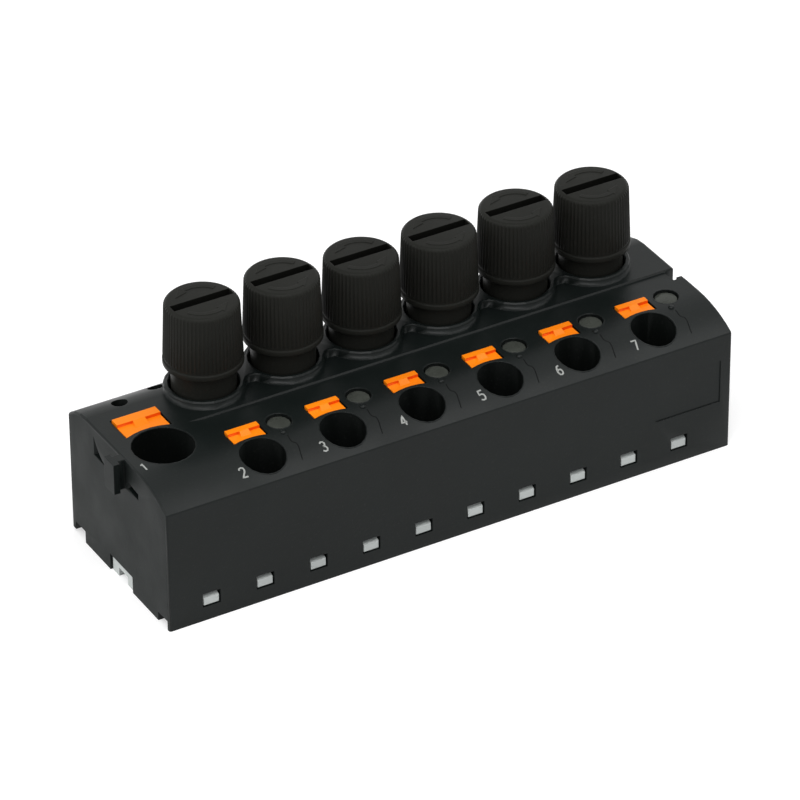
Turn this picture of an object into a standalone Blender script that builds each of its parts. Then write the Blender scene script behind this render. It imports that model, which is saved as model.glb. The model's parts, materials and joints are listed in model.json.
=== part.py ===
"""Distribution terminal block: one large wire port feeds six fused wire ports.

Metres, +Z up. The origin is the middle of the base, the wire ports lie towards -Y
and the joining nose is on the -X end. Sizes along X are counted from the left end,
and sizes along Y from the front face, until from_left and from_front place them.
"""

import math

import bmesh
import bpy
from mathutils import Vector

MM = 0.001

# Clearances and walls
SLIDE_FIT = 0.2 * MM
FIT = 0.3 * MM
WALL = 1.2 * MM
PARTITION = 1.2 * MM
END_BLOCK = 3.46 * MM
EDGE_BREAK = 0.3 * MM
SINK = 0.2 * MM  # how far joined shapes reach into each other
TRIM = 0.03 * MM  # keeps the faces of joined shapes out of one plane
BEYOND = 1.0 * MM  # how far a cutter runs past the face it opens

# Arched moulding
OUTPUT_COUNT = 6
TOP_HEIGHT = 20.75 * MM
FRONT_DROP = 2.2 * MM
BACK_DROP = 1.9 * MM
FRONT_SHOULDER = 8.5 * MM
BACK_SHOULDER = 5.2 * MM
WELL_HEIGHT = 5.0 * MM
CEILING_HEIGHT = 12.2 * MM
DIP_WIDTH = 5.1 * MM
DIP_TO_FUSE = 6.15 * MM
DIP_DEPTH = 0.4 * MM
DIP_RAMP = 2.5 * MM
FIELD_LENGTH = 10.4 * MM
FIELD_HEIGHT = 6.7 * MM
FIELD_BOTTOM = 7.75 * MM
FIELD_FROM_RIGHT = 1.7 * MM
FIELD_DEPTH = 0.15 * MM

# Cartridge fuses, and what fits round them
FUSE_RADIUS = 2.6 * MM
FUSE_LENGTH = 20.0 * MM
FUSE_END_LENGTH = 5.2 * MM
FUSE_GLASS_STEP = 0.25 * MM
FUSE_FROM_RISER = 7.35 * MM
FUSE_FROM_BACK = 6.55 * MM
FUSE_SHIFT = 0.5 * MM
CLIP_WALL = 0.7 * MM
CLIP_TOP = 0.4 * MM
CLIP_TO_CEILING = 1.8 * MM
SOCKET_WALL = 0.55 * MM
SOCKET_DEPTH = 1.35 * MM
COLLAR_WALL = 0.75 * MM
COLLAR_HEIGHT = 1.2 * MM
COLLAR_FLARE = 0.05 * MM
COLLAR_WAIST = 1.85 * MM
COLLAR_ROUNDING = 0.2 * MM
BORE_BREAK = 0.2 * MM
EYE_WALL = 1.2 * MM

# Screw caps, each screwed in to its own depth
CAP_ROOF = 3.88 * MM
CAP_TO_COLLAR = 2.55 * MM
CAP_TOP_RADIUS = 5.0 * MM
CAP_SKIRT_RADIUS = 5.3 * MM
CAP_ROUNDING = 0.55 * MM
CAP_BEAD_RADIUS = 5.5 * MM
CAP_BEAD_HEIGHT = 0.85 * MM
CAP_BEAD_BREAK = 0.2 * MM
CAP_RISE = (0.69 * MM, 0.69 * MM, 0.09 * MM, 0.13 * MM, 0.22 * MM, 0.0 * MM)
SLOT_WIDTH = 1.4 * MM
SLOT_DEPTH = 1.2 * MM
SLOT_LENGTH = 8.9 * MM
RIB_COUNT = 40
RIB_HEIGHT = 0.1 * MM
RIB_ROOT = 0.04 * MM
RIB_END_GAP = 0.45 * MM

# Wire ports and push buttons
INPUT_PORT_RADIUS = 4.3 * MM
INPUT_WIRE_RADIUS = 3.2 * MM
INPUT_PORT_SETBACK = 11.85 * MM
INPUT_MARGIN = 0.75 * MM
OUTPUT_PORT_RADIUS = 3.15 * MM
OUTPUT_WIRE_RADIUS = 2.1 * MM
PORT_TAPER = 2.0 * MM
PORT_WEB = 0.6 * MM
INPUT_BUTTON_WIDTH = 6.5 * MM
INPUT_BUTTON_LENGTH = 4.3 * MM
INPUT_BUTTON_SCOOP = 0.75 * MM
INPUT_BUTTON_BAR = 1.55 * MM
INPUT_BUTTON_RIDGE = 1.8 * MM
INPUT_BUTTON_FOOT = 4.4 * MM
OUTPUT_BUTTON_WIDTH = 4.75 * MM
OUTPUT_BUTTON_LENGTH = 2.8 * MM
OUTPUT_BUTTON_SCOOP = 0.4 * MM
OUTPUT_BUTTON_BAR = 1.0 * MM
OUTPUT_BUTTON_RIDGE = 1.3 * MM
OUTPUT_BUTTON_FOOT = 3.2 * MM
BUTTON_STEP = 0.45 * MM
BUTTON_PROUD = 0.3 * MM
RIDGE_FLARE = 0.5 * MM
FLANGE_OVERHANG = 0.8 * MM
FLANGE_THICKNESS = 0.9 * MM
FOOT_LENGTH = 1.0 * MM
OUTPUT_MARGIN = 1.075 * MM

# Indicator lenses and their board
LENS_RADIUS = 1.6 * MM
LENS_HEIGHT = 2.35 * MM
LENS_RECESS = 0.3 * MM
LENS_EDGE = 0.12 * MM
LENS_SETBACK = 9.3 * MM
LENS_FROM_BUTTON = 1.275 * MM
LENS_MARGIN = 0.33 * MM
PIPE_RADIUS = 1.1 * MM
LAMP_SIDE = 1.6 * MM
LAMP_HEIGHT = 0.7 * MM
BOARD_HEIGHT = 2.2 * MM
BOARD_THICKNESS = 1.0 * MM
BOARD_WIDTH = 6.6 * MM

# Current paths and springs
STRIP = 0.6 * MM
STRIP_WIDTH = 4.0 * MM
STRIP_BEND = 0.8 * MM
STRIP_TO_CEILING = 1.0 * MM
INPUT_STRIP = 0.8 * MM
INPUT_STRIP_WIDTH = 6.0 * MM
BUSBAR_WIDTH = 4.6 * MM
BUSBAR_HEIGHT = 8.0 * MM
OUTPUT_LEAF = 0.4 * MM
INPUT_LEAF = 0.5 * MM
OUTPUT_LEAF_WIDTH = 3.6 * MM
INPUT_LEAF_WIDTH = 5.4 * MM
OUTPUT_LEAF_BEND = 1.2 * MM
INPUT_LEAF_BEND = 1.3 * MM
LEAF_FOOT_GAP = 1.2 * MM
LEAF_SLOPE = math.radians(8)

# Base with its snap arms, and the openings that they show in
BASE_THICKNESS = 1.5 * MM
WINDOW_PITCH = 8.1 * MM
WINDOW_MARGIN = 5.04 * MM
WINDOW_WIDTH = 2.67 * MM
WINDOW_BOTTOM = 2.15 * MM
WINDOW_HEIGHT = 2.13 * MM
ARM_THICKNESS = 1.0 * MM
NOSE_FROM_FACE = 0.15 * MM
NOSE_SLOPE = 0.6 * MM
RAIL_WIDTH = 1.5 * MM
TALL_RAIL_WIDTH = 1.8 * MM
END_NOTCH_CENTRE = 13.6 * MM
END_NOTCH_WIDTH = 6.4 * MM
END_NOTCH_HEIGHT = 2.55 * MM
END_ARCH_WIDTH = 2.5 * MM
END_ARCH_HEIGHT = 1.3 * MM
FRONT_NICK_START = 0.6 * MM
FRONT_NICK_WIDTH = 2.6 * MM
FRONT_NICK_HEIGHT = 1.4 * MM
BACK_NICK_FROM_BACK = 3.85 * MM
BACK_NICK_WIDTH = 2.75 * MM
BACK_NICK_HEIGHT = 1.85 * MM
BACK_CORNER_LIFT = 0.6 * MM

# Joining nose on the left end, hooked pocket in the right end, and small details
KEY_SETBACK = 12.3 * MM
KEY_HEAD_WIDTH = 2.7 * MM
KEY_HEAD_DEPTH = 0.9 * MM
KEY_NECK_WIDTH = 1.3 * MM
KEY_NECK_DEPTH = 1.0 * MM
KEY_DROP = 4.65 * MM
KEY_HEIGHT = 4.6 * MM
POCKET_WIDTH = 2.15 * MM
POCKET_DEPTH = 1.55 * MM
POCKET_LIP = 0.85 * MM
POCKET_HOOK = 0.45 * MM
RELIEF_DEPTH = 1.1 * MM
RELIEF_RISE = 0.3 * MM
FRONT_RELIEF_SETBACK = 7.8 * MM
FRONT_RELIEF_WIDTH = 2.9 * MM
FRONT_RELIEF_HEIGHT = 1.0 * MM
BACK_RELIEF_SETBACK = 16.8 * MM
BACK_RELIEF_WIDTH = 3.6 * MM
BACK_RELIEF_HEIGHT = 3.0 * MM
TEST_HOLE_RADIUS = 1.15 * MM
TEST_HOLE_DEPTH = 6.0 * MM
TEST_HOLES = ((5.9 * MM, 3.7 * MM), (12.1 * MM, 2.1 * MM))  # from the left end and the back face

# Fineness of round shapes
BORE_SIDES = 24
PORT_SIDES = 20
LENS_SIDES = 14
TUBE_SIDES = 16
INNER_SIDES = 12
FRONT_STEPS = 6
BACK_STEPS = 3
SCOOP_STEPS = 5
BEND_STEPS = 2
LOOP_STEPS = 6

# Places that follow from the sizes above
CLIP_INNER = FUSE_RADIUS + FIT
CLIP_OUTER = CLIP_INNER + CLIP_WALL
SOCKET_INNER = CLIP_OUTER + FIT
SOCKET_OUTER = SOCKET_INNER + SOCKET_WALL
BORE_RADIUS = SOCKET_OUTER + FIT
NECK_RADIUS = BORE_RADIUS - FIT
COLLAR_RADIUS = BORE_RADIUS + COLLAR_WALL
EYE_INNER = FUSE_RADIUS + FIT + SLIDE_FIT
COLLAR_TOP = TOP_HEIGHT + COLLAR_HEIGHT
SOCKET_TOP = TOP_HEIGHT - SOCKET_DEPTH
KEY_BOTTOM = TOP_HEIGHT - KEY_DROP
CLIP_BOTTOM = CEILING_HEIGHT + CLIP_TO_CEILING
STRIP_TOP = CEILING_HEIGHT - STRIP_TO_CEILING

OUTPUT_PORT_SETBACK = WALL + FIT + STRIP + OUTPUT_WIRE_RADIUS
PORT_FROM_CELL = OUTPUT_MARGIN + OUTPUT_BUTTON_WIDTH / 2 + FLANGE_OVERHANG
LENS_FROM_PORT = OUTPUT_BUTTON_WIDTH / 2 + LENS_FROM_BUTTON + LENS_RADIUS
CELL_LENGTH = PORT_FROM_CELL + LENS_FROM_PORT + PIPE_RADIUS + LENS_MARGIN
INPUT_PORT_FROM_LEFT = WALL + INPUT_MARGIN + FLANGE_OVERHANG + INPUT_BUTTON_WIDTH / 2
INPUT_CELL_LENGTH = INPUT_PORT_FROM_LEFT + INPUT_BUTTON_WIDTH / 2 + FLANGE_OVERHANG
OUTPUT_PITCH = CELL_LENGTH + PARTITION
FIRST_CELL = WALL + INPUT_CELL_LENGTH + PARTITION
CELLS_END = FIRST_CELL + OUTPUT_COUNT * OUTPUT_PITCH - PARTITION
LENGTH = CELLS_END + END_BLOCK

FUSE_BOTTOM = BUSBAR_HEIGHT + INPUT_STRIP + FIT
FUSE_TOP = FUSE_BOTTOM + FUSE_LENGTH
CLIP_CROWN = FUSE_TOP + FIT + CLIP_TOP
CAP_TOP = CLIP_CROWN + FIT + CAP_ROOF
CAP_SKIRT_BOTTOM = COLLAR_TOP + CAP_TO_COLLAR
CAP_NECK_BOTTOM = SOCKET_TOP + FIT
EYE_TOP = CEILING_HEIGHT - FIT
STRIP_BOTTOM = WELL_HEIGHT
LEAF_FOOT = WELL_HEIGHT + LEAF_FOOT_GAP

INPUT_BUTTON_FRONT = INPUT_PORT_SETBACK + INPUT_PORT_RADIUS + PORT_WEB - INPUT_BUTTON_SCOOP
OUTPUT_BUTTON_FRONT = OUTPUT_PORT_SETBACK + OUTPUT_PORT_RADIUS + PORT_WEB - OUTPUT_BUTTON_SCOOP
INPUT_BUTTON_BACK = INPUT_BUTTON_FRONT + INPUT_BUTTON_LENGTH
OUTPUT_BUTTON_BACK = OUTPUT_BUTTON_FRONT + OUTPUT_BUTTON_LENGTH
FLANGE_TOP = CEILING_HEIGHT - FIT
FLANGE_BOTTOM = FLANGE_TOP - FLANGE_THICKNESS

INPUT_LOOP_BACK = INPUT_BUTTON_BACK + INPUT_LEAF + 2 * INPUT_LEAF_BEND
OUTPUT_LOOP_BACK = OUTPUT_BUTTON_BACK + OUTPUT_LEAF + 2 * OUTPUT_LEAF_BEND
INPUT_BAR_SETBACK = INPUT_PORT_SETBACK - INPUT_WIRE_RADIUS - INPUT_STRIP / 2
OUTPUT_BAR_SETBACK = OUTPUT_PORT_SETBACK - OUTPUT_WIRE_RADIUS - STRIP / 2
RISER_SETBACK = OUTPUT_LOOP_BACK + OUTPUT_LEAF / 2 + FIT + STRIP / 2
FUSE_SETBACK = RISER_SETBACK + FUSE_FROM_RISER
DEPTH = FUSE_SETBACK + FUSE_FROM_BACK
DIP_END = FUSE_SETBACK - DIP_TO_FUSE
DIP_START = DIP_END - DIP_WIDTH
LAMP_TOP = BOARD_HEIGHT + BOARD_THICKNESS + LAMP_HEIGHT
BOARD_FRONT = LENS_SETBACK - BOARD_WIDTH / 2


def from_left(distance):
    return distance - LENGTH / 2


def from_front(distance):
    return distance - DEPTH / 2


def cell_start(index):
    return FIRST_CELL + index * OUTPUT_PITCH


def port_place(index):
    return cell_start(index) + PORT_FROM_CELL


def fuse_place(index):
    return port_place(index) + FUSE_SHIFT


def lens_place(index):
    return port_place(index) + LENS_FROM_PORT


def window_places():
    """Left edges of the openings along a long wall."""
    room = LENGTH - 2 * WINDOW_MARGIN - WINDOW_WIDTH
    count = int(room / WINDOW_PITCH) + 1
    return [WINDOW_MARGIN + index * WINDOW_PITCH for index in range(count)]


def clear_scene():
    for obj in list(bpy.data.objects):
        bpy.data.objects.remove(obj, do_unlink=True)


def material(name, colour, roughness, metallic=0.0):
    made = bpy.data.materials.new(name)
    made.use_nodes = True
    shader = made.node_tree.nodes["Principled BSDF"]
    shader.inputs["Base Color"].default_value = (*colour, 1.0)
    shader.inputs["Roughness"].default_value = roughness
    shader.inputs["Metallic"].default_value = metallic
    return made


def mesh_from(bm, name):
    bmesh.ops.recalc_face_normals(bm, faces=bm.faces)
    mesh = bpy.data.meshes.new(name)
    bm.to_mesh(mesh)
    bm.free()
    return mesh


def place(name, mesh, location=(0, 0, 0), finish=None):
    obj = bpy.data.objects.new(name, mesh)
    obj.location = location
    if finish:
        mesh.materials.clear()
        mesh.materials.append(finish)
    bpy.context.scene.collection.objects.link(obj)
    return obj


def smooth(mesh, angle=math.radians(32)):
    mesh.shade_smooth()
    mesh.set_sharp_from_angle(angle=angle)


def loft(sections, bm=None):
    """A closed body through outlines of equally many points, the first and last capped."""
    bm = bm or bmesh.new()
    rings = [[bm.verts.new(point) for point in section] for section in sections]
    for low, high in zip(rings, rings[1:]):
        for index in range(len(low)):
            after = (index + 1) % len(low)
            bm.faces.new((low[index], low[after], high[after], high[index]))
    bm.faces.new(rings[0])
    bm.faces.new(rings[-1])
    return bm


def prism(outline, low, high, axis="Z", bm=None):
    """Extrudes a closed outline from low to high. Its points give the two other axes in order."""
    def lift(point, level):
        first, second = point
        return {"X": (level, first, second), "Y": (first, level, second), "Z": (first, second, level)}[axis]

    return loft([[lift(point, level) for point in outline] for level in (low, high)], bm)


def block(x_range, y_range, z_range, bm=None):
    outline = [(x_range[0], y_range[0]), (x_range[1], y_range[0]), (x_range[1], y_range[1]), (x_range[0], y_range[1])]
    return prism(outline, *z_range, bm=bm)


def placed_block(x_range, y_range, z_range, bm=None):
    """A block whose sizes count from the left end and the front face."""
    return block([from_left(x) for x in x_range], [from_front(y) for y in y_range], z_range, bm)


def turned(profile, sides, centre=(0, 0), ring=False, bm=None):
    """Turns (radius, height) points about the vertical line through centre."""
    bm = bm or bmesh.new()
    cx, cy = centre
    verts = [bm.verts.new((cx + radius, cy, height)) for radius, height in profile]
    pairs = list(zip(verts, verts[1:]))
    if ring:
        pairs.append((verts[-1], verts[0]))
    edges = [bm.edges.new(pair) for pair in pairs]
    before = set(bm.verts) - set(verts)
    bmesh.ops.spin(bm, geom=verts + edges, cent=(cx, cy, 0), axis=(0, 0, 1),
                   angle=2 * math.pi, steps=sides, use_merge=True)
    made = [vert for vert in bm.verts if vert not in before]
    bmesh.ops.remove_doubles(bm, verts=made, dist=1e-7)
    return bm


def arc(centre, radius, start, end, steps):
    """Points on an arc, ends included, with angles in radians."""
    angles = [start + (end - start) * step / steps for step in range(steps + 1)]
    return [(centre[0] + radius * math.cos(a), centre[1] + radius * math.sin(a)) for a in angles]


def rounded_path(path, radius, steps=BEND_STEPS):
    """An open path whose inner corners are replaced by arcs."""
    points = [path[0]]
    for before, corner, after in zip(path, path[1:], path[2:]):
        corner_v = Vector(corner)
        into = (Vector(before) - corner_v).normalized()
        out = (Vector(after) - corner_v).normalized()
        half = into.angle(out) / 2
        reach = radius / math.tan(half)
        centre = corner_v + (into + out).normalized() * (radius / math.sin(half))
        start = corner_v + into * reach - centre
        end = corner_v + out * reach - centre
        first = math.atan2(start.y, start.x)
        turn = (math.atan2(end.y, end.x) - first + math.pi) % (2 * math.pi) - math.pi
        points += arc(centre, radius, first, first + turn, steps)
    points.append(path[-1])
    return points


def strip(path, thickness, x_range):
    """A bent sheet: the path is its middle line in Y and Z, and x_range its edges."""
    left, right = [], []
    for index, point in enumerate(path):
        before = Vector(path[max(index - 1, 0)])
        after = Vector(path[min(index + 1, len(path) - 1)])
        here = Vector(point)
        run_in = (here - before).normalized() if index else (after - here).normalized()
        run_out = (after - here).normalized() if index < len(path) - 1 else run_in
        along = (run_in + run_out).normalized()
        side = Vector((-along.y, along.x)) * thickness / 2 / max(along.dot(run_in), 0.5)
        left.append(tuple(here + side))
        right.append(tuple(here - side))
    return prism(left + right[::-1], *x_range, axis="X")


def carve(target, cutter_mesh, operation="DIFFERENCE"):
    """Adds a Boolean of one helper mesh to the target, and hides the helper."""
    helper = place(target.name + "_" + operation.lower(), cutter_mesh)
    helper.hide_render = True
    helper.display_type = "WIRE"
    modifier = target.modifiers.new(helper.name, "BOOLEAN")
    modifier.operation = operation
    modifier.solver = "EXACT"
    modifier.object = helper
    return helper


def settle(target):
    """Applies the target's Booleans and removes their helpers."""
    helpers = [modifier.object for modifier in target.modifiers if modifier.type == "BOOLEAN"]
    graph = bpy.context.evaluated_depsgraph_get()
    mesh = bpy.data.meshes.new_from_object(target.evaluated_get(graph))
    mesh.name = target.name
    target.modifiers.clear()
    target.data = mesh
    for helper in helpers:
        bpy.data.objects.remove(helper, do_unlink=True)
    return mesh


def shoulder(run, drop, steps):
    """(distance from the flat, drop) of an arc that leaves the flat top tangentially."""
    radius = (run ** 2 + drop ** 2) / (2 * drop)
    distances = [run * step / steps for step in range(steps + 1)]
    return [(d, radius - math.sqrt(radius ** 2 - d ** 2)) for d in distances]


def arch_outline():
    """The moulding's cross-section, in Y and Z."""
    front = shoulder(FRONT_SHOULDER, FRONT_DROP, FRONT_STEPS)
    back = shoulder(BACK_SHOULDER, BACK_DROP, BACK_STEPS)
    outline = [(from_front(0), 0)]
    outline += [(from_front(FRONT_SHOULDER - d), TOP_HEIGHT - drop) for d, drop in reversed(front)]
    outline += [(from_front(DEPTH - BACK_SHOULDER + d), TOP_HEIGHT - drop) for d, drop in back]
    outline.append((from_front(DEPTH), 0))
    return outline


def arched_block():
    """The solid moulding before anything is cut, with its end edges broken."""
    bm = prism(arch_outline(), from_left(0), from_left(LENGTH), axis="X")
    bmesh.ops.recalc_face_normals(bm, faces=bm.faces)
    floor = [edge for edge in bm.edges if all(vert.co.z < WELL_HEIGHT for vert in edge.verts)]
    sharp = [edge for edge in bm.edges if edge not in floor and edge.calc_face_angle(0) > math.radians(20)]
    bmesh.ops.bevel(bm, geom=sharp, offset=EDGE_BREAK, segments=2, profile=0.5, affect="EDGES",
                    clamp_overlap=True)
    return bm


def collar_outline(radius, level):
    """Six circles joined by narrower waists with concave fillets, at one height."""
    half = OUTPUT_PITCH / 2
    base = COLLAR_RADIUS + COLLAR_FLARE
    base_fillet = (half ** 2 + COLLAR_WAIST ** 2 - base ** 2) / (2 * (base - COLLAR_WAIST))
    reach = COLLAR_WAIST + base_fillet
    fillet = base_fillet + base - radius
    touch = math.atan2(half, reach)
    centre_y = from_front(FUSE_SETBACK)
    points = []
    for side in (-1, 1):
        order = range(OUTPUT_COUNT) if side < 0 else reversed(range(OUTPUT_COUNT))
        for index in order:
            centre_x = from_left(fuse_place(index))
            first = index == (0 if side < 0 else OUTPUT_COUNT - 1)
            last = index == (OUTPUT_COUNT - 1 if side < 0 else 0)
            middle = side * math.pi / 2
            start = middle - (math.pi / 2 if first else touch)
            end = middle + (math.pi / 2 if last else touch)
            steps = round((end - start) / (2 * math.pi) * BORE_SIDES)
            points += arc((centre_x, centre_y), radius, start, end, steps)[:-1 if last else None]
            if not last:
                saddle = (centre_x - side * half, centre_y + side * reach)
                turn = middle + math.pi
                points += arc(saddle, fillet, turn + touch, turn - touch, 2 * BEND_STEPS)[1:-1]
    return [(x, y, level) for x, y in points]


def collars():
    """The scalloped wall that stands round the necks of all six caps."""
    base_radius = COLLAR_RADIUS + COLLAR_FLARE
    return loft([
        collar_outline(base_radius, CEILING_HEIGHT + BEYOND),
        collar_outline(base_radius, TOP_HEIGHT),
        collar_outline(COLLAR_RADIUS, COLLAR_TOP - COLLAR_ROUNDING),
        collar_outline(COLLAR_RADIUS - COLLAR_ROUNDING, COLLAR_TOP),
    ])


def joining_key():
    """The T-shaped nose that stands out of the left end."""
    neck, head = KEY_NECK_WIDTH / 2, KEY_HEAD_WIDTH / 2
    root, full = -WALL / 2, KEY_NECK_DEPTH + KEY_HEAD_DEPTH
    outline = [(root, -neck), (KEY_NECK_DEPTH, -neck), (KEY_NECK_DEPTH, -head), (full, -head)]
    outline += [(full, head), (KEY_NECK_DEPTH, head), (KEY_NECK_DEPTH, neck), (root, neck)]
    points = [(from_left(-out), from_front(KEY_SETBACK + across)) for out, across in outline]
    return prism(points, KEY_BOTTOM, KEY_BOTTOM + KEY_HEIGHT)


def joining_pocket():
    """The hooked pocket in the right end, open at its top, just before the crest."""
    back = DIP_END
    front = back - POCKET_WIDTH
    outline = [(-BEYOND, front), (-BEYOND, back), (POCKET_DEPTH, back), (POCKET_DEPTH, front - POCKET_HOOK)]
    outline += [(POCKET_LIP, front - POCKET_HOOK), (POCKET_LIP, front)]
    points = [(from_left(LENGTH - deep), from_front(y)) for deep, y in outline]
    return prism(points, KEY_BOTTOM, TOP_HEIGHT + BEYOND)


def key_reliefs():
    """Two shallow pockets beside the key on the left end: a slanted bar and a hollow-sided triangle."""
    depth = (from_left(-BEYOND), from_left(RELIEF_DEPTH))
    near = from_front(FRONT_RELIEF_SETBACK)
    far = near + FRONT_RELIEF_WIDTH
    low, high = KEY_BOTTOM + RELIEF_RISE, KEY_BOTTOM + RELIEF_RISE + FRONT_RELIEF_HEIGHT
    bar = [(near, low), (far, low + RELIEF_RISE), (far, high + RELIEF_RISE), (near, high)]
    bm = prism(bar, *depth, axis="X")
    near = from_front(BACK_RELIEF_SETBACK)
    triangle = [(near, low)]
    for step in range(FRONT_STEPS):
        share = (step + 1) / FRONT_STEPS
        triangle.append((near + BACK_RELIEF_WIDTH * share, low + BACK_RELIEF_HEIGHT * share ** 2))
    triangle.append((near + BACK_RELIEF_WIDTH, low))
    return prism(triangle, *depth, axis="X", bm=bm)


def inner_well():
    return placed_block((WALL, LENGTH - WALL), (WALL, DEPTH - WALL), (-BEYOND, WELL_HEIGHT))


def cells():
    """The room of the input clamp and of each output clamp and fuse, open to the well below."""
    low = WELL_HEIGHT - BEYOND
    input_front = INPUT_BAR_SETBACK - INPUT_STRIP / 2 - FIT
    bm = placed_block((WALL, WALL + INPUT_CELL_LENGTH), (input_front, DEPTH - WALL), (low, CEILING_HEIGHT))
    placed_block((WALL, WALL + INPUT_CELL_LENGTH), (WALL, input_front - WALL), (low, CEILING_HEIGHT), bm)
    for index in range(OUTPUT_COUNT):
        start = cell_start(index)
        placed_block((start, start + CELL_LENGTH), (WALL, DEPTH - WALL), (low, CEILING_HEIGHT), bm)
    return bm


def busbar_gap():
    """The passage of the busbar and its rail through the walls between the cells."""
    half = BUSBAR_WIDTH / 2 + FIT
    last = fuse_place(OUTPUT_COUNT - 1)
    return placed_block(
        (WALL + INPUT_CELL_LENGTH - BEYOND, last),
        (FUSE_SETBACK - half, FUSE_SETBACK + half),
        (WELL_HEIGHT - BEYOND, BUSBAR_HEIGHT + INPUT_STRIP + FIT),
    )


def port_profile(radius, wire_radius):
    taper_top = CEILING_HEIGHT + PORT_TAPER
    return [
        (0, CEILING_HEIGHT - BEYOND), (wire_radius, CEILING_HEIGHT - BEYOND), (wire_radius, CEILING_HEIGHT),
        (radius, taper_top), (radius, TOP_HEIGHT + BEYOND), (0, TOP_HEIGHT + BEYOND),
    ]


def wire_ports():
    centre = (from_left(INPUT_PORT_FROM_LEFT), from_front(INPUT_PORT_SETBACK))
    bm = turned(port_profile(INPUT_PORT_RADIUS, INPUT_WIRE_RADIUS), PORT_SIDES, centre)
    for index in range(OUTPUT_COUNT):
        centre = (from_left(port_place(index)), from_front(OUTPUT_PORT_SETBACK))
        turned(port_profile(OUTPUT_PORT_RADIUS, OUTPUT_WIRE_RADIUS), PORT_SIDES, centre, bm=bm)
    return bm


def fuse_bores():
    mouth = BORE_RADIUS + BORE_BREAK
    profile = [
        (0, CEILING_HEIGHT - BEYOND), (BORE_RADIUS, CEILING_HEIGHT - BEYOND),
        (BORE_RADIUS, COLLAR_TOP - BORE_BREAK), (mouth, COLLAR_TOP), (mouth, COLLAR_TOP + BEYOND),
        (0, COLLAR_TOP + BEYOND),
    ]
    bm = None
    for index in range(OUTPUT_COUNT):
        bm = turned(profile, BORE_SIDES, (from_left(fuse_place(index)), from_front(FUSE_SETBACK)), bm=bm)
    return bm


def button_outline(width, length, scoop, grow=0.0):
    """A rectangle about its own middle whose front edge is a shallow hollow arc."""
    half_width, half_length = width / 2 + grow, length / 2 + grow
    radius = (half_width ** 2 + scoop ** 2) / (2 * scoop)
    sweep = math.asin(half_width / radius)
    centre = (0, -half_length + scoop - radius)
    hollow = arc(centre, radius, math.pi / 2 - sweep, math.pi / 2 + sweep, SCOOP_STEPS)
    return [(half_width, half_length), (-half_width, half_length)] + hollow[::-1]


def moved(outline, x, y):
    return [(px + x, py + y) for px, py in outline]


def button_centre(is_input, index=0):
    if is_input:
        return from_left(INPUT_PORT_FROM_LEFT), from_front(INPUT_BUTTON_FRONT + INPUT_BUTTON_LENGTH / 2)
    return from_left(port_place(index)), from_front(OUTPUT_BUTTON_FRONT + OUTPUT_BUTTON_LENGTH / 2)


def button_holes():
    low, high = CEILING_HEIGHT - BEYOND, TOP_HEIGHT + BEYOND
    outline = button_outline(INPUT_BUTTON_WIDTH, INPUT_BUTTON_LENGTH, INPUT_BUTTON_SCOOP, SLIDE_FIT)
    bm = prism(moved(outline, *button_centre(True)), low, high)
    outline = button_outline(OUTPUT_BUTTON_WIDTH, OUTPUT_BUTTON_LENGTH, OUTPUT_BUTTON_SCOOP, SLIDE_FIT)
    for index in range(OUTPUT_COUNT):
        prism(moved(outline, *button_centre(False, index)), low, high, bm=bm)
    return bm


def lens_holes():
    """The mouths that the lens heads sit in."""
    return hole_row(LENS_RADIUS + SLIDE_FIT, TOP_HEIGHT - LENS_RECESS - LENS_HEIGHT - FIT, LENS_SIDES)


def pipe_holes():
    """The narrower bores below the lens mouths."""
    return hole_row(PIPE_RADIUS + FIT, CEILING_HEIGHT - BEYOND, INNER_SIDES)


def hole_row(radius, bottom, sides):
    profile = [(0, bottom), (radius, bottom), (radius, TOP_HEIGHT + BEYOND), (0, TOP_HEIGHT + BEYOND)]
    bm = None
    for index in range(OUTPUT_COUNT):
        bm = turned(profile, sides, (from_left(lens_place(index)), from_front(LENS_SETBACK)), bm=bm)
    return bm


def test_holes():
    profile = [(0, TOP_HEIGHT - TEST_HOLE_DEPTH), (TEST_HOLE_RADIUS, TOP_HEIGHT - TEST_HOLE_DEPTH)]
    profile += [(TEST_HOLE_RADIUS, TOP_HEIGHT + BEYOND), (0, TOP_HEIGHT + BEYOND)]
    bm = None
    for x, from_back in TEST_HOLES:
        bm = turned(profile, LENS_SIDES, (from_left(x), from_front(DEPTH - from_back)), bm=bm)
    return bm


def window_openings():
    bm = None
    for wall in ((-BEYOND, WALL + BEYOND), (DEPTH - WALL - BEYOND, DEPTH + BEYOND)):
        for x in window_places():
            bm = placed_block((x, x + WINDOW_WIDTH), wall, (WINDOW_BOTTOM, WINDOW_BOTTOM + WINDOW_HEIGHT), bm)
    return bm


def end_notches():
    """Openings in the lower edge of both end walls, the last one stepped up to the back corner."""
    half = END_NOTCH_WIDTH / 2
    spans = [
        (END_NOTCH_CENTRE - half, END_NOTCH_CENTRE + half, END_NOTCH_HEIGHT),
        (FRONT_NICK_START, FRONT_NICK_START + FRONT_NICK_WIDTH, FRONT_NICK_HEIGHT),
    ]
    near = from_front(DEPTH - BACK_NICK_FROM_BACK)
    far, out = near + BACK_NICK_WIDTH, from_front(DEPTH + BEYOND)
    stepped = [(near, -BEYOND), (out, -BEYOND), (out, BACK_CORNER_LIFT), (far, BACK_CORNER_LIFT)]
    stepped += [(far, BACK_NICK_HEIGHT), (near, BACK_NICK_HEIGHT)]
    bm = None
    for wall in ((-BEYOND, WALL + BEYOND), (LENGTH - WALL - BEYOND, LENGTH + BEYOND)):
        for start, end, height in spans:
            bm = placed_block(wall, (start, end), (-BEYOND, height), bm)
        prism(stepped, from_left(wall[0]), from_left(wall[1]), axis="X", bm=bm)
    return bm


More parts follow.
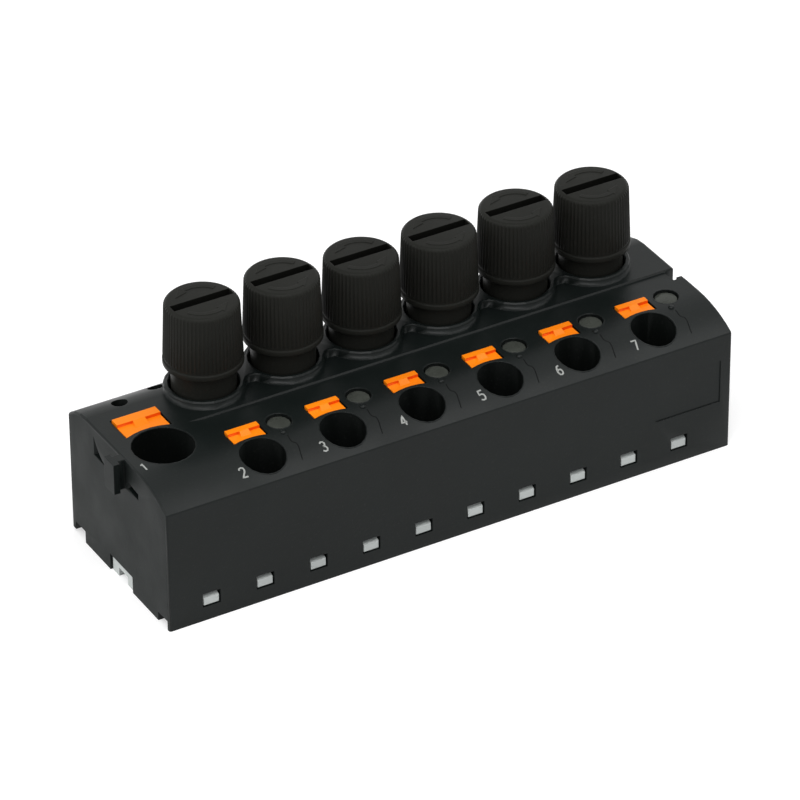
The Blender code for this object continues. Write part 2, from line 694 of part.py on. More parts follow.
def marking_field():
    right = LENGTH - FIELD_FROM_RIGHT
    return placed_block((right - FIELD_LENGTH, right), (-BEYOND, FIELD_DEPTH),
                        (FIELD_BOTTOM, FIELD_BOTTOM + FIELD_HEIGHT))


def top_dip():
    """The wedge by which the front zone falls off towards the collars."""
    def section(x, depth):
        low_y, high_y = from_front(DIP_START), from_front(DIP_END)
        high = TOP_HEIGHT + BEYOND
        start = TOP_HEIGHT + TRIM
        return [(x, low_y, start), (x, high_y, start - depth), (x, high_y, high), (x, low_y, high)]

    ramp = from_left(FIRST_CELL - PARTITION)
    return loft([
        section(ramp, 0), section(ramp + DIP_RAMP, DIP_DEPTH), section(from_left(LENGTH + BEYOND), DIP_DEPTH),
    ])


def make_housing(finish):
    housing = place("housing", mesh_from(arched_block(), "housing"), finish=finish)
    carve(housing, mesh_from(top_dip(), "top_dip"))
    carve(housing, mesh_from(collars(), "collars"), "UNION")
    carve(housing, mesh_from(joining_key(), "joining_key"), "UNION")
    cuts = [
        inner_well, cells, busbar_gap, wire_ports, fuse_bores, button_holes, lens_holes, pipe_holes, test_holes,
        window_openings, marking_field, joining_pocket, key_reliefs, end_notches,
    ]
    for cut in cuts:
        carve(housing, mesh_from(cut(), cut.__name__))
    smooth(settle(housing))


def snap_arms():
    """Arms along both long walls, each with a sloped nose that shows in its window."""
    arm_top = WELL_HEIGHT - FIT
    low = WINDOW_BOTTOM + SLIDE_FIT
    high = WINDOW_BOTTOM + WINDOW_HEIGHT - SLIDE_FIT
    inner = WALL + SLIDE_FIT
    outline = [
        (inner, BASE_THICKNESS - SINK), (inner + ARM_THICKNESS, BASE_THICKNESS - SINK),
        (inner + ARM_THICKNESS, arm_top), (inner, arm_top), (inner, high),
        (NOSE_FROM_FACE, high - NOSE_SLOPE), (NOSE_FROM_FACE, low), (inner, low),
    ]
    arms = None
    for x in window_places():
        span = (from_left(x + SLIDE_FIT), from_left(x + WINDOW_WIDTH - SLIDE_FIT))
        for side in (1, -1):
            arms = prism([(side * from_front(y), z) for y, z in outline], *span, axis="X", bm=arms)
    return arms


def end_tabs():
    """Two n-shaped tabs that show in the notches of the end walls."""
    half = END_NOTCH_WIDTH / 2 - SLIDE_FIT
    arch = END_ARCH_WIDTH / 2
    outline = [(-half, 0), (-arch, 0), (-arch, END_ARCH_HEIGHT), (arch, END_ARCH_HEIGHT), (arch, 0), (half, 0)]
    outline += [(half, END_NOTCH_HEIGHT - FIT), (-half, END_NOTCH_HEIGHT - FIT)]
    outline = [(from_front(END_NOTCH_CENTRE + y), z) for y, z in outline]
    bm = None
    for near, far in ((FIT, WALL + FIT + SINK), (LENGTH - WALL - FIT - SINK, LENGTH - FIT)):
        bm = prism(outline, from_left(near), from_left(far), axis="X", bm=bm)
    return bm


def base_rails():
    """Rails that carry the output contacts, the busbar and the indicator board."""
    low = BASE_THICKNESS - SINK
    near = BOARD_FRONT + BOARD_WIDTH + FIT
    bm = placed_block((WALL + BEYOND, CELLS_END - BEYOND), (near, near + RAIL_WIDTH), (low, STRIP_BOTTOM - FIT))
    bus = (FUSE_SETBACK - RAIL_WIDTH / 2, FUSE_SETBACK + RAIL_WIDTH / 2)
    placed_block((WALL + BEYOND, FIRST_CELL - PARTITION), bus, (low, STRIP_BOTTOM - FIT), bm)
    board = BOARD_FRONT + FIT
    placed_block((WALL + BEYOND, CELLS_END - BEYOND), (board, board + RAIL_WIDTH), (low, BOARD_HEIGHT - FIT), bm)
    return bm


def tall_rail():
    bus = (FUSE_SETBACK - TALL_RAIL_WIDTH / 2, FUSE_SETBACK + TALL_RAIL_WIDTH / 2)
    start = FIRST_CELL - PARTITION - SINK
    return placed_block((start, fuse_place(OUTPUT_COUNT - 1) - FIT), bus,
                        (BASE_THICKNESS - SINK, BUSBAR_HEIGHT - FIT))


def make_base_cover(finish):
    inset = WALL + SLIDE_FIT
    plate = placed_block((inset, LENGTH - inset), (inset, DEPTH - inset), (0, BASE_THICKNESS))
    base = place("base_cover", mesh_from(plate, "base_cover"), finish=finish)
    for shape in (base_rails, tall_rail, end_tabs, snap_arms):
        carve(base, mesh_from(shape(), shape.__name__), "UNION")
    smooth(settle(base))


def cap_body():
    """The cap's plain form: neck, bead, skirt that narrows upwards, and rounded crown."""
    shoulder_top = CAP_TOP - CAP_ROUNDING
    bead_top = CAP_SKIRT_BOTTOM + CAP_BEAD_HEIGHT
    profile = [
        (0, CAP_NECK_BOTTOM), (NECK_RADIUS, CAP_NECK_BOTTOM), (NECK_RADIUS, CAP_SKIRT_BOTTOM),
        (CAP_BEAD_RADIUS - CAP_BEAD_BREAK, CAP_SKIRT_BOTTOM), (CAP_BEAD_RADIUS, CAP_SKIRT_BOTTOM + CAP_BEAD_BREAK),
        (CAP_BEAD_RADIUS, bead_top - CAP_BEAD_BREAK), (CAP_SKIRT_RADIUS, bead_top),
    ]
    crown = arc((CAP_TOP_RADIUS - CAP_ROUNDING, shoulder_top), CAP_ROUNDING, 0, math.pi / 2, BEND_STEPS)
    return turned(profile + crown + [(0, CAP_TOP)], PORT_SIDES)


def rib_ring(height, root):
    """Alternating roots and crests of the grip ribs, at one height."""
    points = []
    for step in range(2 * RIB_COUNT):
        radius = root + RIB_HEIGHT * (step % 2)
        angle = math.pi * step / RIB_COUNT
        points.append((radius * math.cos(angle), radius * math.sin(angle), height))
    return points


def cap_ribs():
    """A band of fine upright ribs round the skirt, which follows its taper."""
    low = CAP_SKIRT_BOTTOM + CAP_BEAD_HEIGHT + RIB_END_GAP
    high = CAP_TOP - CAP_ROUNDING - RIB_END_GAP
    return loft([
        rib_ring(low, CAP_SKIRT_RADIUS + RIB_ROOT), rib_ring(high, CAP_TOP_RADIUS + RIB_ROOT),
    ])


def cap_mesh(finish):
    """The screw cap about its own turning axis, with the cavity for clip and fuse."""
    cap = place("cap_work", mesh_from(cap_body(), "fuse_cap"), finish=finish)
    carve(cap, mesh_from(cap_ribs(), "ribs"), "UNION")
    cavity_top = CLIP_CROWN + FIT
    cavity = [(0, CAP_NECK_BOTTOM - BEYOND), (SOCKET_INNER, CAP_NECK_BOTTOM - BEYOND)]
    cavity += [(SOCKET_INNER, cavity_top), (0, cavity_top)]
    carve(cap, mesh_from(turned(cavity, TUBE_SIDES), "cavity"))
    half = SLOT_LENGTH / 2
    slot = block((-half, half), (-SLOT_WIDTH / 2, SLOT_WIDTH / 2), (CAP_TOP - SLOT_DEPTH, CAP_TOP + BEYOND))
    carve(cap, mesh_from(slot, "slot"))
    mesh = settle(cap)
    bpy.data.objects.remove(cap, do_unlink=True)
    smooth(mesh, math.radians(28))
    return mesh


def clip_mesh():
    """A metal tube, closed at the top, that grips the fuse head and carries the thread."""
    profile = [
        (0, FUSE_TOP + FIT), (CLIP_INNER, FUSE_TOP + FIT), (CLIP_INNER, CLIP_BOTTOM), (CLIP_OUTER, CLIP_BOTTOM),
        (CLIP_OUTER, CLIP_CROWN), (0, CLIP_CROWN),
    ]
    return mesh_from(turned(profile, TUBE_SIDES), "fuse_clip")


def socket_mesh():
    """The metal sleeve in the housing that stands on the contact's eye and takes the clip."""
    profile = [
        (SOCKET_INNER, CEILING_HEIGHT), (SOCKET_OUTER, CEILING_HEIGHT), (SOCKET_OUTER, SOCKET_TOP),
        (SOCKET_INNER, SOCKET_TOP),
    ]
    return mesh_from(turned(profile, TUBE_SIDES, ring=True), "fuse_socket")


def fuse_mesh():
    """A cartridge fuse: metal ends on a slightly thinner glass tube."""
    glass = FUSE_RADIUS - FUSE_GLASS_STEP
    low, high = FUSE_BOTTOM, FUSE_TOP
    profile = [
        (0, low), (FUSE_RADIUS, low), (FUSE_RADIUS, low + FUSE_END_LENGTH), (glass, low + FUSE_END_LENGTH),
        (glass, high - FUSE_END_LENGTH), (FUSE_RADIUS, high - FUSE_END_LENGTH), (FUSE_RADIUS, high), (0, high),
    ]
    return mesh_from(turned(profile, INNER_SIDES), "fuse")


def leaf_path(loop_back, bend, loop_height, tip):
    """Y and Z of a clamp spring: back leg, half loop over the top, and clamping leg to its tip."""
    loop_centre = (loop_back - bend, loop_height)
    loop = arc(loop_centre, bend, 0, math.pi / 2 + LEAF_SLOPE, LOOP_STEPS)
    leave_y, leave_z = loop[-1]
    end = (tip, leave_z - (leave_y - tip) * math.tan(LEAF_SLOPE))
    return [(loop_back, LEAF_FOOT)] + loop + [end]


def leaf_height(path, setback):
    """Height of the clamping leg's middle line at a distance from the front face."""
    leave_y, leave_z = path[-2]
    return leave_z - (leave_y - setback) * math.tan(LEAF_SLOPE)


def input_leaf():
    loop_height = FLANGE_BOTTOM - FIT - INPUT_LEAF / 2 - INPUT_LEAF_BEND
    tip = INPUT_BAR_SETBACK + INPUT_STRIP / 2 + FIT
    return leaf_path(INPUT_LOOP_BACK, INPUT_LEAF_BEND, loop_height, tip)


def output_leaf():
    loop_height = FLANGE_BOTTOM - FIT - OUTPUT_LEAF / 2 - OUTPUT_LEAF_BEND
    tip = OUTPUT_BAR_SETBACK + STRIP / 2 + FIT
    return leaf_path(OUTPUT_LOOP_BACK, OUTPUT_LEAF_BEND, loop_height, tip)


def centred(path):
    return [(from_front(y), z) for y, z in path]


def spring_mesh(path, thickness, width, name):
    mesh = mesh_from(strip(centred(path), thickness, (-width / 2, width / 2)), name)
    smooth(mesh)
    return mesh


def button_mesh(name, finish, head_size, bar, ridge, foot_width, front, path, leaf):
    """A push button about its own middle: head with a raised back bar, retaining flange, foot."""
    width, length, scoop = head_size
    head = prism(button_outline(width, length, scoop), FLANGE_TOP - SINK, TOP_HEIGHT + BUTTON_PROUD)
    button = place("button_work", mesh_from(head, name), finish=finish)
    half = length / 2
    step_bottom = TOP_HEIGHT + BUTTON_PROUD - BUTTON_STEP
    top = TOP_HEIGHT + BUTTON_PROUD + BEYOND
    for side in (-1, 1):
        outline = [
            (side * ridge / 2, half - bar), (side * (width / 2 + BEYOND), half - bar),
            (side * (width / 2 + BEYOND), -half - BEYOND), (side * (ridge / 2 + RIDGE_FLARE), -half - BEYOND),
        ]
        carve(button, mesh_from(prism(outline, step_bottom, top), "step"))
    flange_half = width / 2 + FLANGE_OVERHANG
    flange = block((-flange_half, flange_half), (-half + scoop, half - SLIDE_FIT), (FLANGE_BOTTOM, FLANGE_TOP))
    carve(button, mesh_from(flange, "flange"), "UNION")
    foot_back = front + scoop + FOOT_LENGTH
    foot_bottom = leaf_height(path, foot_back) + leaf / 2 / math.cos(LEAF_SLOPE) + FIT
    foot_y = (-half + scoop + SINK, -half + scoop + FOOT_LENGTH)
    foot = block((-foot_width / 2, foot_width / 2), foot_y, (foot_bottom, FLANGE_BOTTOM + SINK))
    carve(button, mesh_from(foot, "foot"), "UNION")
    mesh = settle(button)
    bpy.data.objects.remove(button, do_unlink=True)
    smooth(mesh, math.radians(40))
    return mesh


def make_input_button(finish):
    head_size = (INPUT_BUTTON_WIDTH, INPUT_BUTTON_LENGTH, INPUT_BUTTON_SCOOP)
    mesh = button_mesh("input_button", finish, head_size, INPUT_BUTTON_BAR, INPUT_BUTTON_RIDGE,
                       INPUT_BUTTON_FOOT, INPUT_BUTTON_FRONT, input_leaf(), INPUT_LEAF)
    place("input_button", mesh, (*button_centre(True), 0))


def make_output_buttons(finish):
    head_size = (OUTPUT_BUTTON_WIDTH, OUTPUT_BUTTON_LENGTH, OUTPUT_BUTTON_SCOOP)
    mesh = button_mesh("output_button", finish, head_size, OUTPUT_BUTTON_BAR, OUTPUT_BUTTON_RIDGE,
                       OUTPUT_BUTTON_FOOT, OUTPUT_BUTTON_FRONT, output_leaf(), OUTPUT_LEAF)
    for index in range(OUTPUT_COUNT):
        place(f"output_button_{index + 1}", mesh, (*button_centre(False, index), 0))


def make_springs(finish):
    mesh = spring_mesh(input_leaf(), INPUT_LEAF, INPUT_LEAF_WIDTH, "input_spring")
    place("input_spring", mesh, (from_left(INPUT_PORT_FROM_LEFT), 0, 0), finish)
    mesh = spring_mesh(output_leaf(), OUTPUT_LEAF, OUTPUT_LEAF_WIDTH, "output_spring")
    for index in range(OUTPUT_COUNT):
        place(f"output_spring_{index + 1}", mesh, (from_left(port_place(index)), 0, 0), finish)


def make_input_busbar(finish):
    """Clamp upright, floor and side riser folded from one strip, and the bar under all fuses."""
    half = INPUT_STRIP_WIDTH / 2
    floor_z = STRIP_BOTTOM + INPUT_STRIP / 2
    bus = (FUSE_SETBACK - BUSBAR_WIDTH / 2, FUSE_SETBACK + BUSBAR_WIDTH / 2)
    path = [(INPUT_BAR_SETBACK, STRIP_TOP), (INPUT_BAR_SETBACK, floor_z), (bus[1], floor_z)]
    centre = from_left(INPUT_PORT_FROM_LEFT)
    sheet = strip(rounded_path(centred(path), STRIP_BEND), INPUT_STRIP, (centre - half, centre + half))
    busbar = place("input_busbar", mesh_from(sheet, "input_busbar"), finish=finish)
    riser_right = WALL + INPUT_CELL_LENGTH - FIT
    side = (bus[0] + TRIM, bus[1] - TRIM)
    tab = placed_block((INPUT_PORT_FROM_LEFT, riser_right), side,
                       (STRIP_BOTTOM + TRIM, STRIP_BOTTOM + INPUT_STRIP - TRIM))
    carve(busbar, mesh_from(tab, "tab"), "UNION")
    riser = placed_block((riser_right - INPUT_STRIP, riser_right + TRIM), bus,
                         (STRIP_BOTTOM + 2 * TRIM, BUSBAR_HEIGHT + INPUT_STRIP - TRIM))
    carve(busbar, mesh_from(riser, "riser"), "UNION")
    end = fuse_place(OUTPUT_COUNT - 1) + FUSE_RADIUS
    bar = placed_block((riser_right - INPUT_STRIP / 2, end), side, (BUSBAR_HEIGHT, BUSBAR_HEIGHT + INPUT_STRIP))
    carve(busbar, mesh_from(bar, "bar"), "UNION")
    smooth(settle(busbar))


def contact_mesh(finish):
    """Clamp upright, floor, riser and the eye that the fuse passes through, about the port's X."""
    half = STRIP_WIDTH / 2
    floor_z = STRIP_BOTTOM + STRIP / 2
    eye_mid = EYE_TOP - STRIP / 2
    path = [(OUTPUT_BAR_SETBACK, STRIP_TOP), (OUTPUT_BAR_SETBACK, floor_z)]
    path += [(RISER_SETBACK, floor_z), (RISER_SETBACK, eye_mid)]
    sheet = strip(rounded_path(centred(path), STRIP_BEND), STRIP, (-half, half))
    contact = place("contact_work", mesh_from(sheet, "output_contact"), finish=finish)
    eye_y = from_front(FUSE_SETBACK)
    tongue = block((-half - TRIM, half + TRIM), (from_front(RISER_SETBACK) - STRIP / 2 - TRIM, eye_y),
                   (EYE_TOP - STRIP, EYE_TOP))
    carve(contact, mesh_from(tongue, "tongue"), "UNION")
    eye_outer = EYE_INNER + EYE_WALL
    ring = [(0, EYE_TOP - STRIP - TRIM), (eye_outer, EYE_TOP - STRIP - TRIM), (eye_outer, EYE_TOP - TRIM)]
    ring.append((0, EYE_TOP - TRIM))
    carve(contact, mesh_from(turned(ring, TUBE_SIDES, (FUSE_SHIFT, eye_y)), "eye"), "UNION")
    hole = [(0, EYE_TOP - STRIP - BEYOND), (EYE_INNER, EYE_TOP - STRIP - BEYOND), (EYE_INNER, EYE_TOP + BEYOND)]
    hole.append((0, EYE_TOP + BEYOND))
    carve(contact, mesh_from(turned(hole, TUBE_SIDES, (FUSE_SHIFT, eye_y)), "eye_hole"))
    mesh = settle(contact)
    bpy.data.objects.remove(contact, do_unlink=True)
    smooth(mesh)
    return mesh


def make_output_contacts(finish):
    mesh = contact_mesh(finish)
    for index in range(OUTPUT_COUNT):
        place(f"output_contact_{index + 1}", mesh, (from_left(port_place(index)), 0, 0))


def make_light_guides(finish):
    """A lens head on a thinner pipe that stands over its lamp."""
    top = TOP_HEIGHT - LENS_RECESS
    neck = top - LENS_HEIGHT
    low = LAMP_TOP + FIT
    profile = [(0, low), (PIPE_RADIUS, low), (PIPE_RADIUS, neck), (LENS_RADIUS, neck)]
    profile += [(LENS_RADIUS, top - LENS_EDGE), (LENS_RADIUS - LENS_EDGE, top), (0, top)]
    mesh = mesh_from(turned(profile, LENS_SIDES), "light_guide")
    smooth(mesh)
    for index in range(OUTPUT_COUNT):
        place(f"light_guide_{index + 1}", mesh, (from_left(lens_place(index)), from_front(LENS_SETBACK), 0), finish)


def make_indicator_board(finish):
    """The board with one lamp under each light guide."""
    plate = placed_block((WALL + BEYOND, CELLS_END - FIT), (BOARD_FRONT, BOARD_FRONT + BOARD_WIDTH),
                         (BOARD_HEIGHT, BOARD_HEIGHT + BOARD_THICKNESS))
    board = place("indicator_board", mesh_from(plate, "indicator_board"), finish=finish)
    half = LAMP_SIDE / 2
    lamps = None
    for index in range(OUTPUT_COUNT):
        x, y = lens_place(index), LENS_SETBACK
        lamps = placed_block((x - half, x + half), (y - half, y + half),
                             (BOARD_HEIGHT + BOARD_THICKNESS / 2, LAMP_TOP), lamps)
    carve(board, mesh_from(lamps, "lamps"), "UNION")
    settle(board)


def make_fuse_holders(cap_finish, clip_finish, socket_finish, fuse_finish):
    """Each holder stands on an empty at its turning axis, which the cap, clip and fuse follow."""
    cap = cap_mesh(cap_finish)
    clip, socket, fuse = clip_mesh(), socket_mesh(), fuse_mesh()
    for mesh in (clip, socket, fuse):
        smooth(mesh)
    for index in range(OUTPUT_COUNT):
        number = index + 1
        axis = bpy.data.objects.new(f"fuse_axis_{number}", None)
        centre = (from_left(fuse_place(index)), from_front(FUSE_SETBACK))
        axis.location = (*centre, CAP_RISE[index % len(CAP_RISE)])
        bpy.context.scene.collection.objects.link(axis)
        moving = [
            place(f"fuse_cap_{number}", cap),
            place(f"fuse_clip_{number}", clip, finish=clip_finish),
            place(f"fuse_{number}", fuse, finish=fuse_finish),
        ]
        for obj in moving:
            obj.parent = axis
        place(f"fuse_socket_{number}", socket, (*centre, 0), socket_finish)


def main():
    clear_scene()
    black = material("black_moulding", (0.028, 0.031, 0.031), 0.5)
    cap_black = material("cap_moulding", (0.022, 0.021, 0.02), 0.42)
    grey = material("light_grey_moulding", (0.55, 0.58, 0.57), 0.5)
    orange = material("orange_moulding", (1.0, 0.2, 0.01), 0.45)
    copper = material("tinned_copper", (0.72, 0.66, 0.58), 0.35, 1.0)
    steel = material("spring_steel", (0.6, 0.6, 0.6), 0.3, 1.0)
    brass = material("brass", (0.8, 0.6, 0.25), 0.3, 1.0)
    lens = material("lens_plastic", (0.1, 0.1, 0.09), 0.35)
    board = material("board_laminate", (0.02, 0.16, 0.06), 0.5)
    fuse_finish = material("fuse_ends_and_glass", (0.75, 0.75, 0.75), 0.25, 0.8)

    make_housing(black)
    make_base_cover(grey)
    make_input_button(orange)
    make_output_buttons(orange)
    make_springs(steel)
    make_input_busbar(copper)
    make_output_contacts(copper)
    make_light_guides(lens)
    make_indicator_board(board)
    make_fuse_holders(cap_black, steel, brass, fuse_finish)


main()
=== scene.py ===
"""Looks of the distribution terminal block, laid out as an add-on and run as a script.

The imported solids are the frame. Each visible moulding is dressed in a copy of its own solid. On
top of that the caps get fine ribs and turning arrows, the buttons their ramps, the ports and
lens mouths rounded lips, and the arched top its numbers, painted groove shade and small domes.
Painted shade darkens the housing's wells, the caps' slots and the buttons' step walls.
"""

import json
import math

import bmesh
import bpy
from bpy.props import FloatProperty, FloatVectorProperty, IntProperty, PointerProperty
from mathutils import Matrix, Vector
from mathutils.bvhtree import BVHTree


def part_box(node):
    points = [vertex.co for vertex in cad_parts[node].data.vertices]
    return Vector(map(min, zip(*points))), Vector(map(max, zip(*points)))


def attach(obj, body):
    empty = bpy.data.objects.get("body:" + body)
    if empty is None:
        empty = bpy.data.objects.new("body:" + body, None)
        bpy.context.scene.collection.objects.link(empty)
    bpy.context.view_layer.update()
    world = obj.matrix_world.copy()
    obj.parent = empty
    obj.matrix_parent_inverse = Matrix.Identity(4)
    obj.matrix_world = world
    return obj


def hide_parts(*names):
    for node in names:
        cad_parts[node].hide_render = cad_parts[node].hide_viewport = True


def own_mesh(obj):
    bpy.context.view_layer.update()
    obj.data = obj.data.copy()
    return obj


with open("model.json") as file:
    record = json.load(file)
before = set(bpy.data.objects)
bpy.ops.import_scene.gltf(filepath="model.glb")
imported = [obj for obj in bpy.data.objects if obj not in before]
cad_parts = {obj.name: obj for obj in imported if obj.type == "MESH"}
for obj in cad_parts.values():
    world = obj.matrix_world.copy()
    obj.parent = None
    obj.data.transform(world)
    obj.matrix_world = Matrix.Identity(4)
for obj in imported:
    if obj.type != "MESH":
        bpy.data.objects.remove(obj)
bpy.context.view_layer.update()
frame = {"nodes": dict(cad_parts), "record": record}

bl_info = {
    "name": "Terminal block looks",
    "version": (1, 0, 0),
    "blender": (4, 5, 0),
    "location": "View3D > Sidebar > Terminal block",
    "description": "Dresses the packed solids of a fused distribution terminal block",
    "category": "Object",
}

MM = 0.001
CELLS = 6
BLOCK_LOW, BLOCK_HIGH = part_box("housing")


# ---------------------------------------------------------------- sizes and colours
def size(label, default, text):
    return FloatProperty(name=label, description=text, default=default, unit="LENGTH", precision=5)


def colour(label, default, text):
    return FloatVectorProperty(name=label, description=text, default=default, subtype="COLOR", min=0, max=1)


def share(label, default, text, least=0.0):
    return FloatProperty(name=label, description=text, default=default, min=least, max=1)


def power(label, default, text):
    return FloatProperty(name=label, description=text, default=default, unit="POWER")


class MouldingLooks(bpy.types.PropertyGroup):
    housing: colour("Housing", (0.0050, 0.0070, 0.0066), "Colour of the black housing")
    cap: colour("Caps", (0.0146, 0.0150, 0.0130), "Colour of the screw caps")
    base: colour("Base", (0.48, 0.51, 0.50), "Colour of the light grey base")
    button: colour("Buttons", (1.0, 0.225, 0.004), "Colour of the push buttons")
    # painted shade: the darker, redder colour of the buttons' forward step walls
    step_wall_shade: colour("Button walls", (1.0, 0.10, 0.003), "Colour of the buttons' shaded step walls")
    lens: colour("Lenses", (0.046, 0.050, 0.043), "Colour of the indicator lenses")
    # painted shade: the darker colour given to faces deep inside the housing's wells
    recess_shade: colour("Wells", (0.0028, 0.0036, 0.0033), "Colour of the housing's matt inner walls")
    gloss: share("Gloss", 0.17, "Mirror share of the black housing")
    cap_gloss: share("Cap gloss", 0.05, "Mirror share of the caps")
    ink: colour("Marks", (0.31, 0.32, 0.305), "Colour of the printed numbers")
    lip: size("Lip rounding", 0.11 * MM, "Radius of the rounded lips round ports and lenses")
    front_shoulder: size("Front shoulder", 8.5 * MM, "Depth of the arch's curved front part")
    front_drop: size("Front drop", 2.2 * MM, "How far the arch falls to its front edge")
    back_shoulder: size("Back shoulder", 5.2 * MM, "Depth of the arch's curved back part")
    back_drop: size("Back drop", 1.9 * MM, "How far the arch falls to its back edge")


class ButtonLooks(bpy.types.PropertyGroup):
    ramp: share("Ramp", 0.42, "Share of the pads' depth that the middle ramp takes", least=0.1)


class CapLooks(bpy.types.PropertyGroup):
    ribs: IntProperty(name="Ribs", description="Grip ribs round one cap", default=60, min=12, max=120)
    rib_height: size("Rib height", 0.13 * MM, "How far a grip rib stands out")
    skirt: size("Skirt radius", 5.31 * MM, "Radius of the skirt just above its bead, between the ribs")
    crown: size("Crown radius", 5.01 * MM, "Radius of the skirt just below its crown, between the ribs")
    rounding: size("Crown rounding", 0.55 * MM, "Radius of the crown's rounded edge")
    bead: size("Bead height", 0.85 * MM, "Height of the smooth bead at the lower edge")
    bead_break: size("Bead rounding", 0.2 * MM, "Radius of the bead's rounded edges")
    rib_gap: size("Rib gap", 0.42 * MM, "Distance from the bead to the ends of the ribs")
    slot_width: size("Slot width", 1.4 * MM, "Width of the screwdriver slot")
    slot_length: size("Slot length", 8.9 * MM, "Length of the screwdriver slot")
    slot_depth: size("Slot depth", 1.2 * MM, "Depth of the screwdriver slot")
    arrow_radius: size("Arrow radius", 3.5 * MM, "Radius of the curved turning arrows on the crown")
    arrow_width: size("Arrow width", 0.7 * MM, "Width of the turning arrows")
    arrow_height: size("Arrow height", 0.07 * MM, "How far the turning arrows stand up")


class MarkLooks(bpy.types.PropertyGroup):
    height: size("Number height", 1.5 * MM, "Height of a printed number")
    stroke: size("Number stroke", 0.23 * MM, "Width of a printed stroke")
    thickness: size("Ink thickness", 0.02 * MM, "How far the ink stands on the moulding")
    pip_radius: size("Pip radius", 0.42 * MM, "Radius of the small dome behind each cell mark")
    pip_height: size("Pip height", 0.3 * MM, "Height of that dome")
    # painted shade: the dark band beside each port stands for the shade in a shallow groove
    groove: size("Cell mark width", 0.14 * MM, "Width of the dark mark beside each port")


class StageLooks(bpy.types.PropertyGroup):
    floor: colour("Floor", (0.68, 0.68, 0.68), "Colour of the floor")
    key: power("Key lamp", 2.8, "Power of the large front lamp")
    fill: power("Fill lamp", 1.4, "Power of the side lamp")
    top: power("Top lamp", 0.95, "Power of the lamp overhead")
    world: FloatProperty(name="World", description="Strength of the even light", default=0.50, min=0)
    lift: FloatProperty(name="Floor lift", description="White added to the floor as it is seen",
                        default=0.44, min=0)


# ---------------------------------------------------------------- materials
DUST_COLOUR = (0.42, 0.41, 0.39)
# painted shade: colour of the dark bands that stand for shallow grooves
GROOVE_SHADE = (0.003, 0.0035, 0.0035)
TIN = (0.72, 0.66, 0.58)
SPRING_STEEL = (0.13, 0.13, 0.135)
BRASS = (0.80, 0.60, 0.25)
NICKEL = (0.75, 0.75, 0.75)
BOARD_GREEN = (0.02, 0.16, 0.06)
ALONG_STRIP = (1.0, 1.0, 0.04)
ALONG_X = (0.06, 1.0, 1.0)


class Nodes:
    """Builds a node material step by step, with short calls for the nodes that the finishes share."""

    def __init__(self, name):
        self.material = bpy.data.materials.new(name)
        self.material.use_nodes = True
        self.tree = self.material.node_tree
        self.shader = self.tree.nodes["Principled BSDF"]
        self.place = self.new("ShaderNodeTexCoord").outputs["Object"]

    def new(self, kind, **settings):
        node = self.tree.nodes.new(kind)
        for key, value in settings.items():
            setattr(node, key, value)
        return node

    def link(self, out, into):
        self.tree.links.new(out, into)

    def noise(self, scale, detail=3.0, roughness=0.5, stretch=None):
        node = self.new("ShaderNodeTexNoise")
        node.inputs["Scale"].default_value = scale
        node.inputs["Detail"].default_value = detail
        node.inputs["Roughness"].default_value = roughness
        source = self.place
        if stretch:
            mapping = self.new("ShaderNodeMapping")
            mapping.inputs["Scale"].default_value = stretch
            self.link(source, mapping.inputs["Vector"])
            source = mapping.outputs["Vector"]
        self.link(source, node.inputs["Vector"])
        return node.outputs["Fac"]

    def ramp(self, source, low, high, start=0.0, end=1.0):
        node = self.new("ShaderNodeMapRange")
        node.inputs["From Min"].default_value = start
        node.inputs["From Max"].default_value = end
        node.inputs["To Min"].default_value = low
        node.inputs["To Max"].default_value = high
        self.link(source, node.inputs["Value"])
        return node.outputs["Result"]

    def mix(self, factor, first, second):
        node = self.new("ShaderNodeMix", data_type="RGBA")
        self.link(factor, node.inputs["Factor"])
        for value, socket in ((first, node.inputs["A"]), (second, node.inputs["B"])):
            if isinstance(value, bpy.types.NodeSocket):
                self.link(value, socket)
            else:
                socket.default_value = (*value[:3], 1.0)
        return node.outputs["Result"]

    def bump(self, source, depth, after=None):
        node = self.new("ShaderNodeBump")
        node.inputs["Distance"].default_value = depth
        self.link(source, node.inputs["Height"])
        if after:
            self.link(after, node.inputs["Normal"])
        return node.outputs["Normal"]


def shade(value, factor):
    """The colour times the factor, with each part at most 1."""
    return tuple(min(1.0, part * factor) for part in value)


def moulded(name, base, rough=(0.36, 0.50), grain=0.012 * MM, dust=0.012, scuff=1.35,
            edge=0.10 * MM, gloss=0.5):
    """Moulded plastic: fine grain, broad flow clouds, a few scuffs and a breath of dust."""
    made = Nodes(name)
    clouds = made.ramp(made.noise(scale=55, detail=4), low=0, high=1, start=0.3, end=0.7)
    tone = made.mix(clouds, shade(base, 0.86), shade(base, 1.16))
    specks = made.ramp(made.noise(scale=2600, detail=2), low=0, high=dust, start=0.60, end=0.78)
    tone = made.mix(specks, tone, DUST_COLOUR)
    streaks = made.noise(scale=900, detail=2, roughness=0.6, stretch=ALONG_X)
    scratches = made.ramp(streaks, low=0, high=0.35, start=0.66, end=0.80)
    tone = made.mix(scratches, tone, shade(base, scuff))
    made.link(tone, made.shader.inputs["Base Color"])
    worn = made.ramp(made.noise(scale=140, detail=4), *rough, start=0.3, end=0.7)
    made.link(worn, made.shader.inputs["Roughness"])
    rounded = made.new("ShaderNodeBevel", samples=6)
    rounded.inputs["Radius"].default_value = edge
    fine = made.bump(made.noise(scale=5200, detail=3), grain, after=rounded.outputs["Normal"])
    broad = made.bump(made.noise(scale=210, detail=2), grain * 2.2, after=fine)
    made.link(broad, made.shader.inputs["Normal"])
    made.shader.inputs["Specular IOR Level"].default_value = gloss
    return made.material


